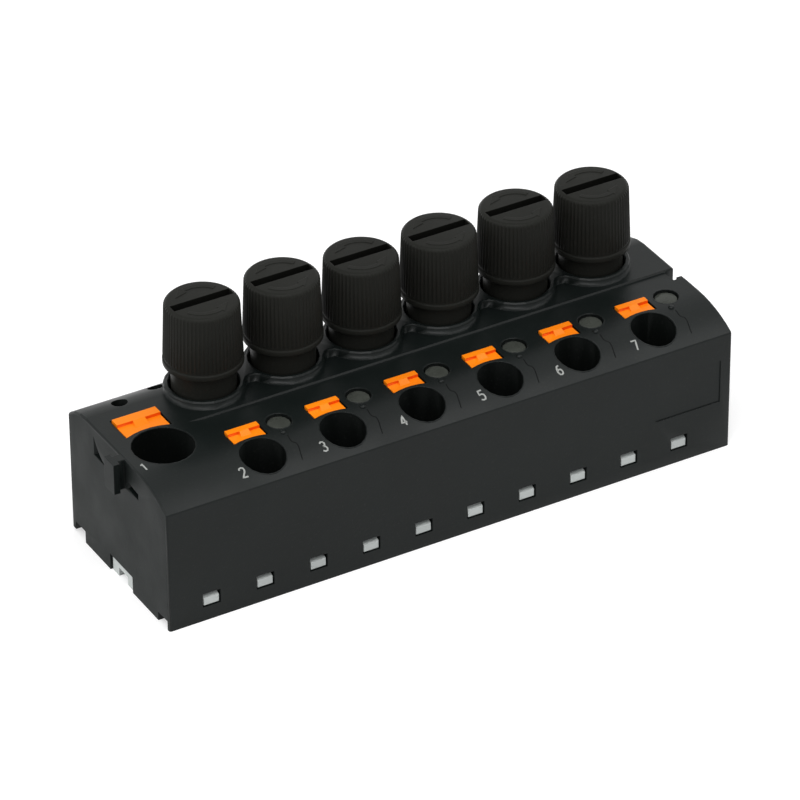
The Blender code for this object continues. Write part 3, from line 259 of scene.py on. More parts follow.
def lens_finish(name, base):
    """Smoky, slightly milky plastic with a polished face."""
    made = Nodes(name)
    milk = made.ramp(made.noise(scale=420, detail=4), low=0, high=1, start=0.35, end=0.7)
    made.link(made.mix(milk, shade(base, 0.8), shade(base, 1.15)), made.shader.inputs["Base Color"])
    polish = made.ramp(made.noise(scale=900, detail=3), low=0.22, high=0.34)
    made.link(polish, made.shader.inputs["Roughness"])
    made.link(made.bump(made.noise(scale=700, detail=2), 0.008 * MM), made.shader.inputs["Normal"])
    made.shader.inputs["Specular IOR Level"].default_value = 0.12
    return made.material


def ink_finish(name, base):
    """Pad-printed ink: thin at some spots, with a fine grain."""
    made = Nodes(name)
    thin = made.ramp(made.noise(scale=2400, detail=4), low=0, high=0.5, start=0.52, end=0.75)
    made.link(made.mix(thin, base, shade(base, 0.72)), made.shader.inputs["Base Color"])
    dry = made.ramp(made.noise(scale=1500, detail=3), low=0.45, high=0.62)
    made.link(dry, made.shader.inputs["Roughness"])
    made.link(made.bump(made.noise(scale=4200, detail=3), 0.006 * MM), made.shader.inputs["Normal"])
    return made.material


def metal_finish(name, base, rough=(0.22, 0.36), stretch=ALONG_STRIP):
    """Rolled or drawn metal: fine lines along the strip, with tarnish clouds."""
    made = Nodes(name)
    tarnish = made.ramp(made.noise(scale=260, detail=4), low=0, high=1, start=0.35, end=0.75)
    made.link(made.mix(tarnish, base, shade(base, 0.74)), made.shader.inputs["Base Color"])
    lines = made.ramp(made.noise(scale=700, detail=3, stretch=stretch), *rough)
    made.link(lines, made.shader.inputs["Roughness"])
    drawn = made.bump(made.noise(scale=3000, detail=2, stretch=stretch), 0.004 * MM)
    made.link(drawn, made.shader.inputs["Normal"])
    made.shader.inputs["Metallic"].default_value = 1.0
    return made.material


def board_finish(name, base):
    """Circuit board lacquer over a faint weave."""
    made = Nodes(name)
    weave = made.new("ShaderNodeTexBrick")
    weave.inputs["Scale"].default_value = 900
    weave.inputs["Mortar Size"].default_value = 0.08
    made.link(made.place, weave.inputs["Vector"])
    made.link(made.mix(weave.outputs["Fac"], base, shade(base, 0.6)), made.shader.inputs["Base Color"])
    lacquer = made.ramp(made.noise(scale=600, detail=3), low=0.28, high=0.42)
    made.link(lacquer, made.shader.inputs["Roughness"])
    made.link(made.bump(weave.outputs["Fac"], 0.01 * MM), made.shader.inputs["Normal"])
    return made.material


FINISHES = {}


def finish(key):
    """The finish of that name, which the first call makes together with all others."""
    if key not in FINISHES:
        base = bpy.context.scene.block_mouldings
        gloss, cap_gloss = base.gloss, base.cap_gloss
        FINISHES.update({
            "black_moulding": moulded("black_moulding_finish", base.housing, rough=(0.30, 0.42),
                                      gloss=gloss),
            "black_end": moulded("black_end_finish", base.housing, rough=(0.52, 0.64), gloss=gloss),
            # painted shade inside the housing's wells
            "black_painted_shade": moulded("housing_shade_paint", base.recess_shade, rough=(0.6, 0.75), gloss=gloss / 4),
            "cap_moulding": moulded("cap_moulding_finish", base.cap, rough=(0.33, 0.45), gloss=cap_gloss),
            # painted shade: a darker cap colour inside the screwdriver slots
            "cap_painted_shade": moulded("cap_slot_shade_paint", shade(base.cap, 0.45), rough=(0.5, 0.65),
                                gloss=cap_gloss / 2),
            "light_grey_moulding": moulded("grey_moulding_finish", base.base, dust=0.02, scuff=1.1),
            "orange_moulding": moulded("orange_moulding_finish", base.button, rough=(0.32, 0.44),
                                       dust=0.01, scuff=1.1, gloss=0.15),
            # painted shade on the buttons' forward step walls
            "orange_painted_shade": moulded("button_step_shade_paint", base.step_wall_shade, rough=(0.45, 0.55),
                                   dust=0.005, scuff=1.1, gloss=0.1),
            "lens_plastic": lens_finish("lens_finish", base.lens),
            "ink": ink_finish("ink_finish", base.ink),
            # painted shade along the shallow grooves beside the ports
            "painted_groove_shade": moulded("groove_shade_paint", GROOVE_SHADE, rough=(0.6, 0.75), gloss=0.08),
            "tinned_copper": metal_finish("tinned_copper_finish", TIN),
            "spring_steel": metal_finish("spring_steel_finish", SPRING_STEEL, rough=(0.34, 0.48)),
            "brass": metal_finish("brass_finish", BRASS),
            "fuse_ends_and_glass": metal_finish("fuse_ends_finish", NICKEL, stretch=(1, 1, 1)),
            "board_laminate": board_finish("board_finish", BOARD_GREEN),
        })
    return FINISHES[key]


# ---------------------------------------------------------------- meshes
SMOOTH = 32
WELD = 0.001 * MM
ARCH_ZONE = 6 * MM
ARCH_RISE = 0.7
ARCH_FACET = math.radians(14)
END_FACING = 0.99
WELL_EDGE = 0.4 * MM
PROBE_LIFT = 0.05 * MM
BAND_STEP = 0.35 * MM
BAND_SINK = 0.05 * MM


def node_bmesh(node):
    """The CAD node's own surface with its faces joined up."""
    bm = bmesh.new()
    bm.from_mesh(frame["nodes"][node].data)
    bmesh.ops.remove_doubles(bm, verts=bm.verts, dist=WELD)
    return bm


def add_piece(name, mesh, slot, body, smooth_angle=SMOOTH):
    """A smoothly shaded object of the mesh that moves with a body."""
    mesh.materials.clear()
    mesh.materials.append(finish(slot))
    mesh.shade_smooth()
    mesh.set_sharp_from_angle(angle=math.radians(smooth_angle))
    obj = bpy.data.objects.new(name, mesh)
    bpy.context.scene.collection.objects.link(obj)
    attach(obj, body)
    return obj


def body_of_node(node):
    """The body that a CAD node moves with."""
    for body, members in frame["record"]["behaviour"]["bodies"].items():
        if node in members:
            return body
    raise RuntimeError(node + " is in no body")


def dressed(node, slot, smooth_angle=SMOOTH, cutter=None):
    """A smoothly shaded copy of one CAD node that stands for it, less the cutter's space."""
    bm = node_bmesh(node)
    name = node + "_dressed"
    mesh = bpy.data.meshes.new(name)
    bm.to_mesh(mesh)
    bm.free()
    obj = add_piece(name, mesh, slot, body_of_node(node), smooth_angle)
    if cutter:
        cut_away(obj, cutter)
        obj.data.shade_smooth()
        obj.data.set_sharp_from_angle(angle=math.radians(smooth_angle))
    even = obj.modifiers.new("even_shading", "WEIGHTED_NORMAL")
    even.keep_sharp = True
    even.weight = 50
    even.mode = "FACE_AREA"
    apply_modifiers(obj)
    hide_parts(node)
    return obj


def arch_lean(y):
    """(radius, lean) of the arched top at a place across it. The flat middle has neither."""
    sizes = bpy.context.scene.block_mouldings
    shoulders = ((BLOCK_LOW.y, -1, sizes.front_shoulder, sizes.front_drop),
                 (BLOCK_HIGH.y, 1, sizes.back_shoulder, sizes.back_drop))
    for edge, side, run, fall in shoulders:
        from_flat = run - abs(y - edge)
        if from_flat > 0:
            radius = (run ** 2 + fall ** 2) / (2 * fall)
            return radius, side * math.asin(min(from_flat / radius, 1))
    return 0, 0


def arch_normal(y):
    """The direction that the arched top faces at a place across it."""
    lean = arch_lean(y)[1]
    return Vector((0, math.sin(lean), math.cos(lean)))


def arch_height(flat, y):
    """The height of the arched top at a place across it, from the height of its flat middle."""
    radius, lean = arch_lean(y)
    return flat - radius * (1 - math.cos(lean))


def true_arch(obj):
    """Gives the arched top's facets the normals of a true arch, and leaves other faces as they are."""
    mesh = obj.data
    normals = [loop.vector.copy() for loop in mesh.corner_normals]
    for face in mesh.polygons:
        if face.normal.z < ARCH_RISE or face.center.z < BLOCK_HIGH.z - ARCH_ZONE:
            continue
        if face.normal.angle(arch_normal(face.center.y)) > ARCH_FACET:
            for loop in face.loop_indices:
                normals[loop] = face.normal
            continue
        for loop in face.loop_indices:
            place = mesh.vertices[mesh.loops[loop].vertex_index].co
            normals[loop] = arch_normal(place.y)
    mesh.normals_split_custom_set([normal[:] for normal in normals])


def flat_height(tree):
    """The height of the arched top's flat middle, beside the large button."""
    low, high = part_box("input_button")
    return drop(tree, low.x - MM / 2, high.y).z


def matt_ends_and_recess_shade(obj):
    """Gives the end faces a coarser finish, and paints shade on walls with housing on all four sides: they
    get the darker colour of the wells.
    """
    mesh = obj.data
    mesh.materials.append(finish("black_painted_shade"))
    mesh.materials.append(finish("black_end"))
    tree = housing_surface()
    flat = flat_height(tree)
    ways = [Vector(way) for way in ((1, 0, 0), (-1, 0, 0), (0, 1, 0), (0, -1, 0))]
    for face in mesh.polygons:
        if abs(face.normal.x) > END_FACING:
            face.material_index = 2
        place = face.center + face.normal * PROBE_LIFT
        if place.z < arch_height(flat, place.y) - WELL_EDGE:
            if all(tree.ray_cast(place, way)[0] for way in ways):
                # painted shade on a face deep inside a well
                face.material_index = 1


def apply_modifiers(obj):
    """Puts what an object's modifiers make into its own mesh."""
    graph = bpy.context.evaluated_depsgraph_get()
    mesh = bpy.data.meshes.new_from_object(obj.evaluated_get(graph))
    mesh.name = obj.name
    obj.modifiers.clear()
    obj.data = mesh


def cut_away(obj, bm):
    """Takes the shape in bm away from a piece."""
    cutter = bpy.data.objects.new("cutter", finished_mesh(bm, "cutter"))
    bpy.context.scene.collection.objects.link(cutter)
    cut = obj.modifiers.new("cut", "BOOLEAN")
    cut.operation, cut.solver, cut.object = "DIFFERENCE", "EXACT", cutter
    apply_modifiers(obj)
    bpy.data.objects.remove(cutter, do_unlink=True)


def paint_node(node, slot):
    """Gives the CAD node itself a finish."""
    obj = frame["nodes"][node]
    obj.data.materials.clear()
    obj.data.materials.append(finish(slot))


def housing_surface():
    """A search tree over the housing, to set marks down on it."""
    bm = node_bmesh("housing")
    tree = BVHTree.FromBMesh(bm)
    bm.free()
    return tree


def drop(tree, x, y):
    """The point of the housing straight below (x, y)."""
    hit = tree.ray_cast(Vector((x, y, BLOCK_HIGH.z + MM)), Vector((0, 0, -1)))[0]
    if hit is None:
        raise RuntimeError("no housing below a mark")
    return hit


def skin(bm, rings):
    """Faces between each ring of points and the next."""
    for low, high in zip(rings, rings[1:]):
        for corner in range(len(low)):
            after = (corner + 1) % len(low)
            bm.faces.new((low[corner], low[after], high[after], high[corner]))


def close_ends(bm, rings):
    """One face over the first ring of points and one over the last."""
    bm.faces.new(rings[0][::-1])
    bm.faces.new(rings[-1])


def stroke_band(bm, tree, path, width, thickness):
    """A raised band along a path of (x, y) points that follows the housing's top."""
    points = [Vector(point) for point in path]
    fine = [points[0]]
    for before, after in zip(points, points[1:]):
        count = max(1, math.ceil((after - before).length / BAND_STEP))
        fine += [before.lerp(after, step / count) for step in range(1, count + 1)]
    rings = []
    for index, here in enumerate(fine):
        before = fine[max(index - 1, 0)]
        after = fine[min(index + 1, len(fine) - 1)]
        along = (after - before).normalized()
        side = Vector((-along.y, along.x)) * width / 2
        ring = []
        for point, lift in ((here + side, thickness), (here - side, thickness),
                            (here - side, -BAND_SINK), (here + side, -BAND_SINK)):
            ground = drop(tree, point.x, point.y)
            ring.append(bm.verts.new((point.x, point.y, ground.z + lift)))
        rings.append(ring)
    skin(bm, rings)
    close_ends(bm, rings)


def finished_mesh(bm, name):
    """A mesh of what bm holds, with its faces outward. This frees bm."""
    bmesh.ops.recalc_face_normals(bm, faces=bm.faces)
    mesh = bpy.data.meshes.new(name)
    bm.to_mesh(mesh)
    bm.free()
    return mesh


# ---------------------------------------------------------------- caps
RIB_SHAPE = (0.0, 0.0, 0.55, 1.0, 0.55, 0.0)
RIB_FADE = (1, 0.75, 0.25, 0, 0, 0)
ROUND_STEPS = 5
NEAR = 0.05 * MM
ARROW_STEPS = 8
ARROW_STARTS = (0.18 * math.pi, 1.18 * math.pi)
ARROW_SWEEP = 0.62 * math.pi
ARROW_HEAD = 0.32
ARROW_BARB = 2.1
ARROW_SINK = 0.1 * MM
SLOT_MARGIN = 0.005 * MM
CAP_SMOOTH = 50


def cap_measures(node):
    """Heights and radii that the CAD cap gives: neck, cavity, lower edge of the skirt, bead and crown."""
    low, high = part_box(node)
    centre = (low + high) / 2
    obj = frame["nodes"][node]
    points = [obj.matrix_world @ vert.co for vert in obj.data.vertices]
    rings = [(math.hypot(p.x - centre.x, p.y - centre.y), p.z) for p in points]
    foot = [radius for radius, height in rings if height < low.z + NEAR]
    neck, cavity = max(foot), min(foot)
    skirt = [height for radius, height in rings if radius > neck + 6 * NEAR]
    inside = [height for radius, height in rings if abs(radius - cavity) < NEAR]
    return {
        "neck": neck, "cavity": cavity, "low": low.z, "top": high.z,
        "bead": max(radius for radius, _ in rings),
        "skirt_low": min(skirt),
        "cavity_top": max(height for height in inside if height < high.z - 2 * MM),
    }


def quarter(radius_from, height_from, radius_step, height_step, outward=True):
    """Points on a quarter round between two places, the ends included."""
    points = []
    for step in range(ROUND_STEPS + 1):
        turn = math.pi / 2 * step / ROUND_STEPS
        along, across = math.sin(turn), 1 - math.cos(turn)
        if not outward:
            along, across = across, along
        points.append((radius_from + radius_step * along, height_from + height_step * across))
    return points


def cap_profile(m):
    """(radius, height, share of the rib height) from the cavity's roof round the outside to the crown."""
    sizes = bpy.context.scene.block_caps
    edge, low = sizes.bead_break, m["skirt_low"]
    bead_top = low + sizes.bead
    rib_low = bead_top + sizes.rib_gap
    shoulder = m["top"] - sizes.rounding
    plain = [(m["cavity"], m["cavity_top"]), (m["cavity"], m["low"]), (m["neck"], m["low"]),
             (m["neck"], low)]
    plain += quarter(m["bead"] - edge, low, edge, edge)
    plain += quarter(m["bead"], bead_top - edge, sizes.skirt - m["bead"], edge, outward=False)
    profile = [(radius, height, 0) for radius, height in plain]
    profile += [(sizes.skirt, rib_low - edge / 2, 0), (sizes.skirt, rib_low + edge / 2, 1)]
    crown = quarter(sizes.crown, shoulder, -sizes.rounding, sizes.rounding, outward=False)
    return profile + [(radius, height, share) for (radius, height), share in zip(crown, RIB_FADE)]


def ribbed_body(m):
    """The cap's surface as rings of points, with every grip rib in it."""
    sizes = bpy.context.scene.block_caps
    sides = sizes.ribs * len(RIB_SHAPE)
    bm = bmesh.new()
    rings = []
    for radius, height, share in cap_profile(m):
        ring = []
        for step in range(sides):
            reach = radius + sizes.rib_height * share * RIB_SHAPE[step % len(RIB_SHAPE)]
            angle = 2 * math.pi * step / sides
            ring.append(bm.verts.new((reach * math.cos(angle), reach * math.sin(angle), height)))
        rings.append(ring)
    skin(bm, rings)
    close_ends(bm, rings)
    return bm


def arrow_outline(start):
    """A curved arrow round the origin, from the start angle on, in (x, y) points."""
    sizes = bpy.context.scene.block_caps
    middle, half = sizes.arrow_radius, sizes.arrow_width / 2
    shaft = ARROW_SWEEP - ARROW_HEAD * ARROW_SWEEP
    inner, outer = [], []
    for step in range(ARROW_STEPS + 1):
        angle = start + shaft * step / ARROW_STEPS
        inner.append((angle, middle - half))
        outer.append((angle, middle + half))
    neck, barb = start + shaft, ARROW_BARB * half
    tip = [(neck, middle + barb), (start + ARROW_SWEEP, middle), (neck, middle - barb)]
    outline = outer + tip + inner[::-1]
    return [(radius * math.cos(angle), radius * math.sin(angle)) for angle, radius in outline]


def raise_outline(bm, outline, low, high):
    """Adds an upright prism over (x, y) points."""
    rings = [[bm.verts.new((x, y, level)) for x, y in outline] for level in (low, high)]
    skin(bm, rings)
    close_ends(bm, rings)


def cap_mesh(m):
    """One cap about its own axis: ribbed body, screwdriver slot and turning arrows."""
    sizes = bpy.context.scene.block_caps
    body = bpy.data.objects.new("cap_work", finished_mesh(ribbed_body(m), "cap_work"))
    bpy.context.scene.collection.objects.link(body)
    half_x, half_y = sizes.slot_length / 2, sizes.slot_width / 2
    corners = [(-half_x, -half_y), (half_x, -half_y), (half_x, half_y), (-half_x, half_y)]
    slot = bmesh.new()
    raise_outline(slot, corners, m["top"] - sizes.slot_depth, m["top"] + MM)
    cut_away(body, slot)
    bm = bmesh.new()
    bm.from_mesh(body.data)
    bpy.data.objects.remove(body, do_unlink=True)
    for start in ARROW_STARTS:
        raise_outline(bm, arrow_outline(start), m["top"] - ARROW_SINK, m["top"] + sizes.arrow_height)
    return finished_mesh(bm, "cap")


def paint_slot_shade(cap, middle, top):
    """Paints shade on the walls and the floor of a cap's screwdriver slot: a darker colour of the cap
    plastic stands for the shade there.
    """
    sizes = bpy.context.scene.block_caps
    cap.data.materials.append(finish("cap_painted_shade"))
    for face in cap.data.polygons:
        along = abs(face.center.x - middle.x) - sizes.slot_length / 2
        beside = abs(face.center.y - middle.y) - sizes.slot_width / 2
        below = top - face.center.z
        if max(along, beside, below - sizes.slot_depth) < SLOT_MARGIN < below:
            # painted shade on the slot's faces
            face.material_index = 1


# ---------------------------------------------------------------- buttons and lips
BUTTON_NEAR = 0.02 * MM
BUTTON_SMOOTH = 12
WALL_FACING = -0.8
FRONT_ZONE = 0.5 * MM
LIP_SMOOTH = 60
LIP_SIDES = 96
LIP_SECTION = 8
LIP_SINK = 0.8
LIP_STEP = 0.1 * MM
LIP_HALVINGS = 6
TOP_DEPTH = 0.15 * MM


def ramp_cutter(node):
    """The space over a button's middle ridge, which leaves a ramp from the back bar to the pads."""
    low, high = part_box(node)
    points = [vert.co for vert in frame["nodes"][node].data.vertices]
    head = [point for point in points if point.z > high.z - BUTTON_NEAR]
    left, right = min(point.x for point in head), max(point.x for point in head)
    bar_front = min(point.y for point in head if point.x < left + BUTTON_NEAR)
    pad = max(point.z for point in points if point.z < high.z - 2 * BUTTON_NEAR)
    front = min(point.y for point in points if point.z > pad - BUTTON_NEAR)
    ramp_end = bar_front - bpy.context.scene.block_buttons.ramp * (bar_front - front)
    floor = pad + BUTTON_NEAR / 4
    outline = [(bar_front, high.z), (ramp_end, floor), (front - MM, floor),
               (front - MM, high.z + MM), (bar_front, high.z + MM)]
    bm = bmesh.new()
    rings = [[bm.verts.new((x, y, z)) for y, z in outline] for x in (left - MM, right + MM)]
    skin(bm, rings)
    close_ends(bm, rings)
    return bm


def paint_wall_shade(button, low):
    """Paints shade on the forward walls of a button's steps: a darker, redder colour stands for their
    shade.
    """
    button.data.materials.append(finish("orange_painted_shade"))
    for face in button.data.polygons:
        if face.normal.y < WALL_FACING and face.center.y > low.y + FRONT_ZONE:
            # painted shade on a forward step wall
            face.material_index = 1


def lip_reach(tree, flat, x, y, way):
    """How far a hole's edge is from (x, y) in one direction, on the arched top."""
    def on_top(reach):
        place = Vector((x + way.x * reach, y + way.y * reach, BLOCK_HIGH.z + MM))
        hit = tree.ray_cast(place, Vector((0, 0, -1)))[0]
        return hit is not None and hit.z > arch_height(flat, place.y) - TOP_DEPTH

    outer = 5 * LIP_STEP
    while not on_top(outer):
        outer += LIP_STEP
    inner = outer - LIP_STEP
    for _ in range(LIP_HALVINGS):
        middle = (inner + outer) / 2
        if on_top(middle):
            outer = middle
        else:
            inner = middle
    return outer


def lip(bm, tree, flat, x, y):
    """A small rounded lip round the hole that (x, y) lies in."""
    radius = bpy.context.scene.block_mouldings.lip
    rings = []
    for step in range(LIP_SIDES):
        turn = 2 * math.pi * step / LIP_SIDES
        way = Vector((math.cos(turn), math.sin(turn), 0))
        edge = lip_reach(tree, flat, x, y, way)
        ground = arch_height(flat, y + way.y * edge)
        ring = []
        for corner in range(LIP_SECTION):
            angle = 2 * math.pi * corner / LIP_SECTION
            reach = edge + radius * (math.cos(angle) + LIP_SINK)
            height = ground + radius * (math.sin(angle) - LIP_SINK)
            ring.append(bm.verts.new((x + way.x * reach, y + way.y * reach, height)))
        rings.append(ring)
    skin(bm, rings + rings[:1])


def opening_middle(name):
    """The middle of one of the record's openings."""
    for opening in frame["record"]["physics"]["openings"]:
        if opening["name"] == name:
            low, high = (Vector(corner) for corner in opening["box_m"])
            return (low + high) / 2
    raise RuntimeError("no opening named " + name)


# ---------------------------------------------------------------- operators
class BLOCK_OT_lips(bpy.types.Operator):
    """Rounds the edges of the wire ports and lens mouths with small lips"""
    bl_idname = "block.lips"
    bl_label = "Port lips"

    def execute(self, context):
        tree = housing_surface()
        flat = flat_height(tree)
        middles = [opening_middle("input_port")]
        for index in range(CELLS):
            middles.append(opening_middle(f"output_port_{index + 1}"))
            low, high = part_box(f"light_guide_{index + 1}")
            middles.append((low + high) / 2)
        bm = bmesh.new()
        for middle in middles:
            lip(bm, tree, flat, middle.x, middle.y)
        mesh = finished_mesh(bm, "hole_lips")
        lips = add_piece("hole_lips", mesh, "black_moulding", "block", LIP_SMOOTH)
        return {"FINISHED"}


class BLOCK_OT_mouldings(bpy.types.Operator):
    """Dresses the housing and its base in moulded plastic, with the arched top shaded as one curve and
    painted shade in the wells
    """
    bl_idname = "block.mouldings"
    bl_label = "Mouldings"

    def execute(self, context):
        housing = dressed("housing", "black_moulding")
        true_arch(housing)
        matt_ends_and_recess_shade(housing)
        dressed("base_cover", "light_grey_moulding")
        return {"FINISHED"}


class BLOCK_OT_buttons(bpy.types.Operator):
    """Dresses the seven push buttons, lets their middle ridges fall as ramps and paints shade on their step
    walls
    """
    bl_idname = "block.buttons"
    bl_label = "Push buttons"

    def execute(self, context):
        for node in ["input_button"] + [f"output_button_{index + 1}" for index in range(CELLS)]:
            button = dressed(node, "orange_moulding", BUTTON_SMOOTH, ramp_cutter(node))
            # painted shade on the step walls
            paint_wall_shade(button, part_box(node)[0])
        return {"FINISHED"}


class BLOCK_OT_lenses(bpy.types.Operator):
    """Dresses the indicator lenses"""
    bl_idname = "block.lenses"
    bl_label = "Indicator lenses"

    def execute(self, context):
        for index in range(CELLS):
            dressed(f"light_guide_{index + 1}", "lens_plastic")
        return {"FINISHED"}


class BLOCK_OT_caps(bpy.types.Operator):
    """Dresses the six screw caps"""
    bl_idname = "block.caps"
    bl_label = "Screw caps"

    def execute(self, context):
        measures = cap_measures("fuse_cap_1")
        made = cap_mesh(measures)
        for index in range(CELLS):
            node = f"fuse_cap_{index + 1}"
            low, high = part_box(node)
            mesh = made.copy()
            middle = (low + high) / 2
            mesh.transform(Matrix.Translation((middle.x, middle.y, low.z - measures["low"])))
            cap = add_piece(node + "_dressed", mesh, "cap_moulding", body_of_node(node), CAP_SMOOTH)
            # painted shade in the screwdriver slot
            paint_slot_shade(cap, middle, high.z)
            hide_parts(node)
        return {"FINISHED"}


class BLOCK_OT_springs(bpy.types.Operator):
    """Dresses the leaf springs that the record lists as bending nodes, each with a mesh of its own"""
    bl_idname = "block.springs"
    bl_label = "Leaf springs"

    def execute(self, context):
        for joint in frame["record"]["behaviour"]["joints"]:
            for bent in joint.get("deforming_nodes", []):
                spring = dressed(bent["node"], "spring_steel")
                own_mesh(spring)
        return {"FINISHED"}


class BLOCK_OT_metalwork(bpy.types.Operator):
    """Gives the busbar, contacts, sleeves, clips, fuses and the board inside their finishes"""
    bl_idname = "block.metalwork"
    bl_label = "Inner pieces"

    def execute(self, context):
        paint_node("input_busbar", "tinned_copper")
        paint_node("indicator_board", "board_laminate")
        rows = {"output_contact": "tinned_copper", "fuse_socket": "brass", "fuse_clip": "spring_steel",
                "fuse": "fuse_ends_and_glass"}
        for index in range(CELLS):
            for node, slot in rows.items():
                paint_node(f"{node}_{index + 1}", slot)
        return {"FINISHED"}


# ---------------------------------------------------------------- marks
DIGITS = {
    1: [[(0.25, 0.78), (0.55, 1.0), (0.55, 0.0)]],
    2: [[(0.1, 0.78), (0.22, 0.95), (0.5, 1.0), (0.78, 0.93), (0.86, 0.72), (0.7, 0.48), (0.1, 0.0),
         (0.9, 0.0)]],
    3: [[(0.12, 0.88), (0.38, 1.0), (0.7, 0.96), (0.82, 0.76), (0.68, 0.56), (0.42, 0.52)],
        [(0.42, 0.52), (0.74, 0.46), (0.88, 0.25), (0.74, 0.05), (0.4, 0.0), (0.1, 0.12)]],
    4: [[(0.68, 0.0), (0.68, 1.0), (0.08, 0.3), (0.95, 0.3)]],
    5: [[(0.82, 1.0), (0.22, 1.0), (0.16, 0.54), (0.5, 0.62), (0.8, 0.52), (0.88, 0.28), (0.74, 0.05),
         (0.4, 0.0), (0.1, 0.1)]],
    6: [[(0.75, 0.97), (0.42, 0.9), (0.18, 0.6), (0.12, 0.3), (0.28, 0.05), (0.55, 0.0), (0.82, 0.1),
         (0.88, 0.32), (0.72, 0.53), (0.45, 0.56), (0.18, 0.42)]],
    7: [[(0.1, 1.0), (0.9, 1.0), (0.4, 0.0)]],
}
DIGIT_WIDTH = 0.62
# path of the painted groove shade beside each port, in mm from the clamp's middle and the front
GROOVE_PATH = [(4.73, 6.0), (4.63, 5.1), (4.66, 4.7), (4.82, 4.45), (5.02, 4.3), (5.1, 4.0), (5.06, 3.5),
             (4.78, 2.55), (4.52, 1.55)]
MARK_THICKNESS = 0.01 * MM
PIP_PLACE = (4.49, 6.74)
PIP_SIDES = 20
PIP_STEPS = 5
PIP_SINK = 0.1 * MM
FIRST_NUMBER = (-4.57, 8.68)
OTHER_NUMBERS = (-3.93, 2.4)


def pip_mesh(ground):
    """A small moulded dome that stands on the arched top."""
    sizes = bpy.context.scene.block_marks
    levels = [(sizes.pip_radius, -PIP_SINK)]
    for step in range(PIP_STEPS):
        turn = math.pi / 2 * step / PIP_STEPS
        levels.append((sizes.pip_radius * math.cos(turn), sizes.pip_height * math.sin(turn)))
    bm = bmesh.new()
    rings = []
    for reach, level in levels:
        ring = []
        for side in range(PIP_SIDES):
            angle = 2 * math.pi * side / PIP_SIDES
            around = Vector((reach * math.cos(angle), reach * math.sin(angle), level))
            ring.append(bm.verts.new(ground + around))
        rings.append(ring)
    skin(bm, rings)
    bm.faces.new(rings[0][::-1])
    crown = bm.verts.new(ground + Vector((0, 0, sizes.pip_height)))
    for side in range(PIP_SIDES):
        bm.faces.new((rings[-1][side], rings[-1][(side + 1) % PIP_SIDES], crown))
    return finished_mesh(bm, "cell_pip")


def spring_x(node):
    """The middle of a clamp along the block."""
    low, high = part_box(node)
    return (low.x + high.x) / 2


def number_places():
    """Where the numbers stand: before the large port, then before each small one."""
    front = BLOCK_LOW.y
    places = [(spring_x("input_spring") + FIRST_NUMBER[0] * MM, front + FIRST_NUMBER[1] * MM)]
    for index in range(CELLS):
        x = spring_x(f"output_spring_{index + 1}")
        places.append((x + OTHER_NUMBERS[0] * MM, front + OTHER_NUMBERS[1] * MM))
    return places


class BLOCK_OT_marks(bpy.types.Operator):
    """Sets plain numbers before the ports and, beside them, dark bands of painted shade that stand for
    shallow grooves
    """
    bl_idname = "block.marks"
    bl_label = "Marks"

    def execute(self, context):
        sizes = context.scene.block_marks
        tree = housing_surface()
        for number, (x, y) in enumerate(number_places(), 1):
            name = f"port_number_{number}"
            bm = bmesh.new()
            for path in DIGITS[number]:
                placed = [(x + (u - 0.5) * sizes.height * DIGIT_WIDTH, y + (v - 0.5) * sizes.height)
                          for u, v in path]
                stroke_band(bm, tree, placed, sizes.stroke, sizes.thickness)
            mark = add_piece(name, finished_mesh(bm, name), "ink", "block")
        front = BLOCK_LOW.y
        for index in range(CELLS):
            x = spring_x(f"output_spring_{index + 1}")
            name = f"groove_shade_band_{index + 1}"
            path = [(x + across * MM, front + back * MM) for across, back in GROOVE_PATH]
            bm = bmesh.new()
            stroke_band(bm, tree, path, sizes.groove, MARK_THICKNESS)
            # a dark band of painted shade where a shallow groove runs
            mark = add_piece(name, finished_mesh(bm, name), "painted_groove_shade", "block")
            ground = drop(tree, x + PIP_PLACE[0] * MM, front + PIP_PLACE[1] * MM)
            pip = add_piece(f"cell_pip_{index + 1}", pip_mesh(ground), "black_moulding", "block")
        return {"FINISHED"}


# ---------------------------------------------------------------- stage
CAMERA_PLACE = (-0.320105, -0.555875, 0.43673)
CAMERA_YAW = 29.891
CAMERA_DOWN = 33.377
CAMERA_ROLL = -0.319
FOCAL_PIXELS = 5675.6
PHOTO_SIDE = 800
SENSOR = 36
CLIP = (0.01, 10)
WHITE = (1, 1, 1, 1)
FLOOR_HALF = 1.5
FLOOR_LEVEL = -0.01 * MM
LAMP_AIM = (0, 0, 0.01)
KEY_PLACE, KEY_SIDE = (-0.2, -0.3, 0.66), 0.5
FILL_PLACE, FILL_SIDE = (-0.6, 0.15, 0.35), 0.4
TOP_PLACE, TOP_SIDE = (0.28, -0.1, 0.6), 0.35


def camera_matrix():
    """The photograph's camera, from its turn, tilt and roll in degrees."""
    yaw, down, roll = (math.radians(value) for value in (CAMERA_YAW, CAMERA_DOWN, CAMERA_ROLL))
    right = Vector((math.cos(yaw), -math.sin(yaw), 0))
    up = Vector((math.sin(yaw) * math.sin(down), math.cos(yaw) * math.sin(down), math.cos(down)))
    ahead = Vector((math.sin(yaw) * math.cos(down), math.cos(yaw) * math.cos(down), -math.sin(down)))
    across = right * math.cos(roll) + up * math.sin(roll)
    upward = up * math.cos(roll) - right * math.sin(roll)
    rows = [(across[i], upward[i], -ahead[i], CAMERA_PLACE[i]) for i in range(3)]
    return Matrix((*rows, (0, 0, 0, 1)))


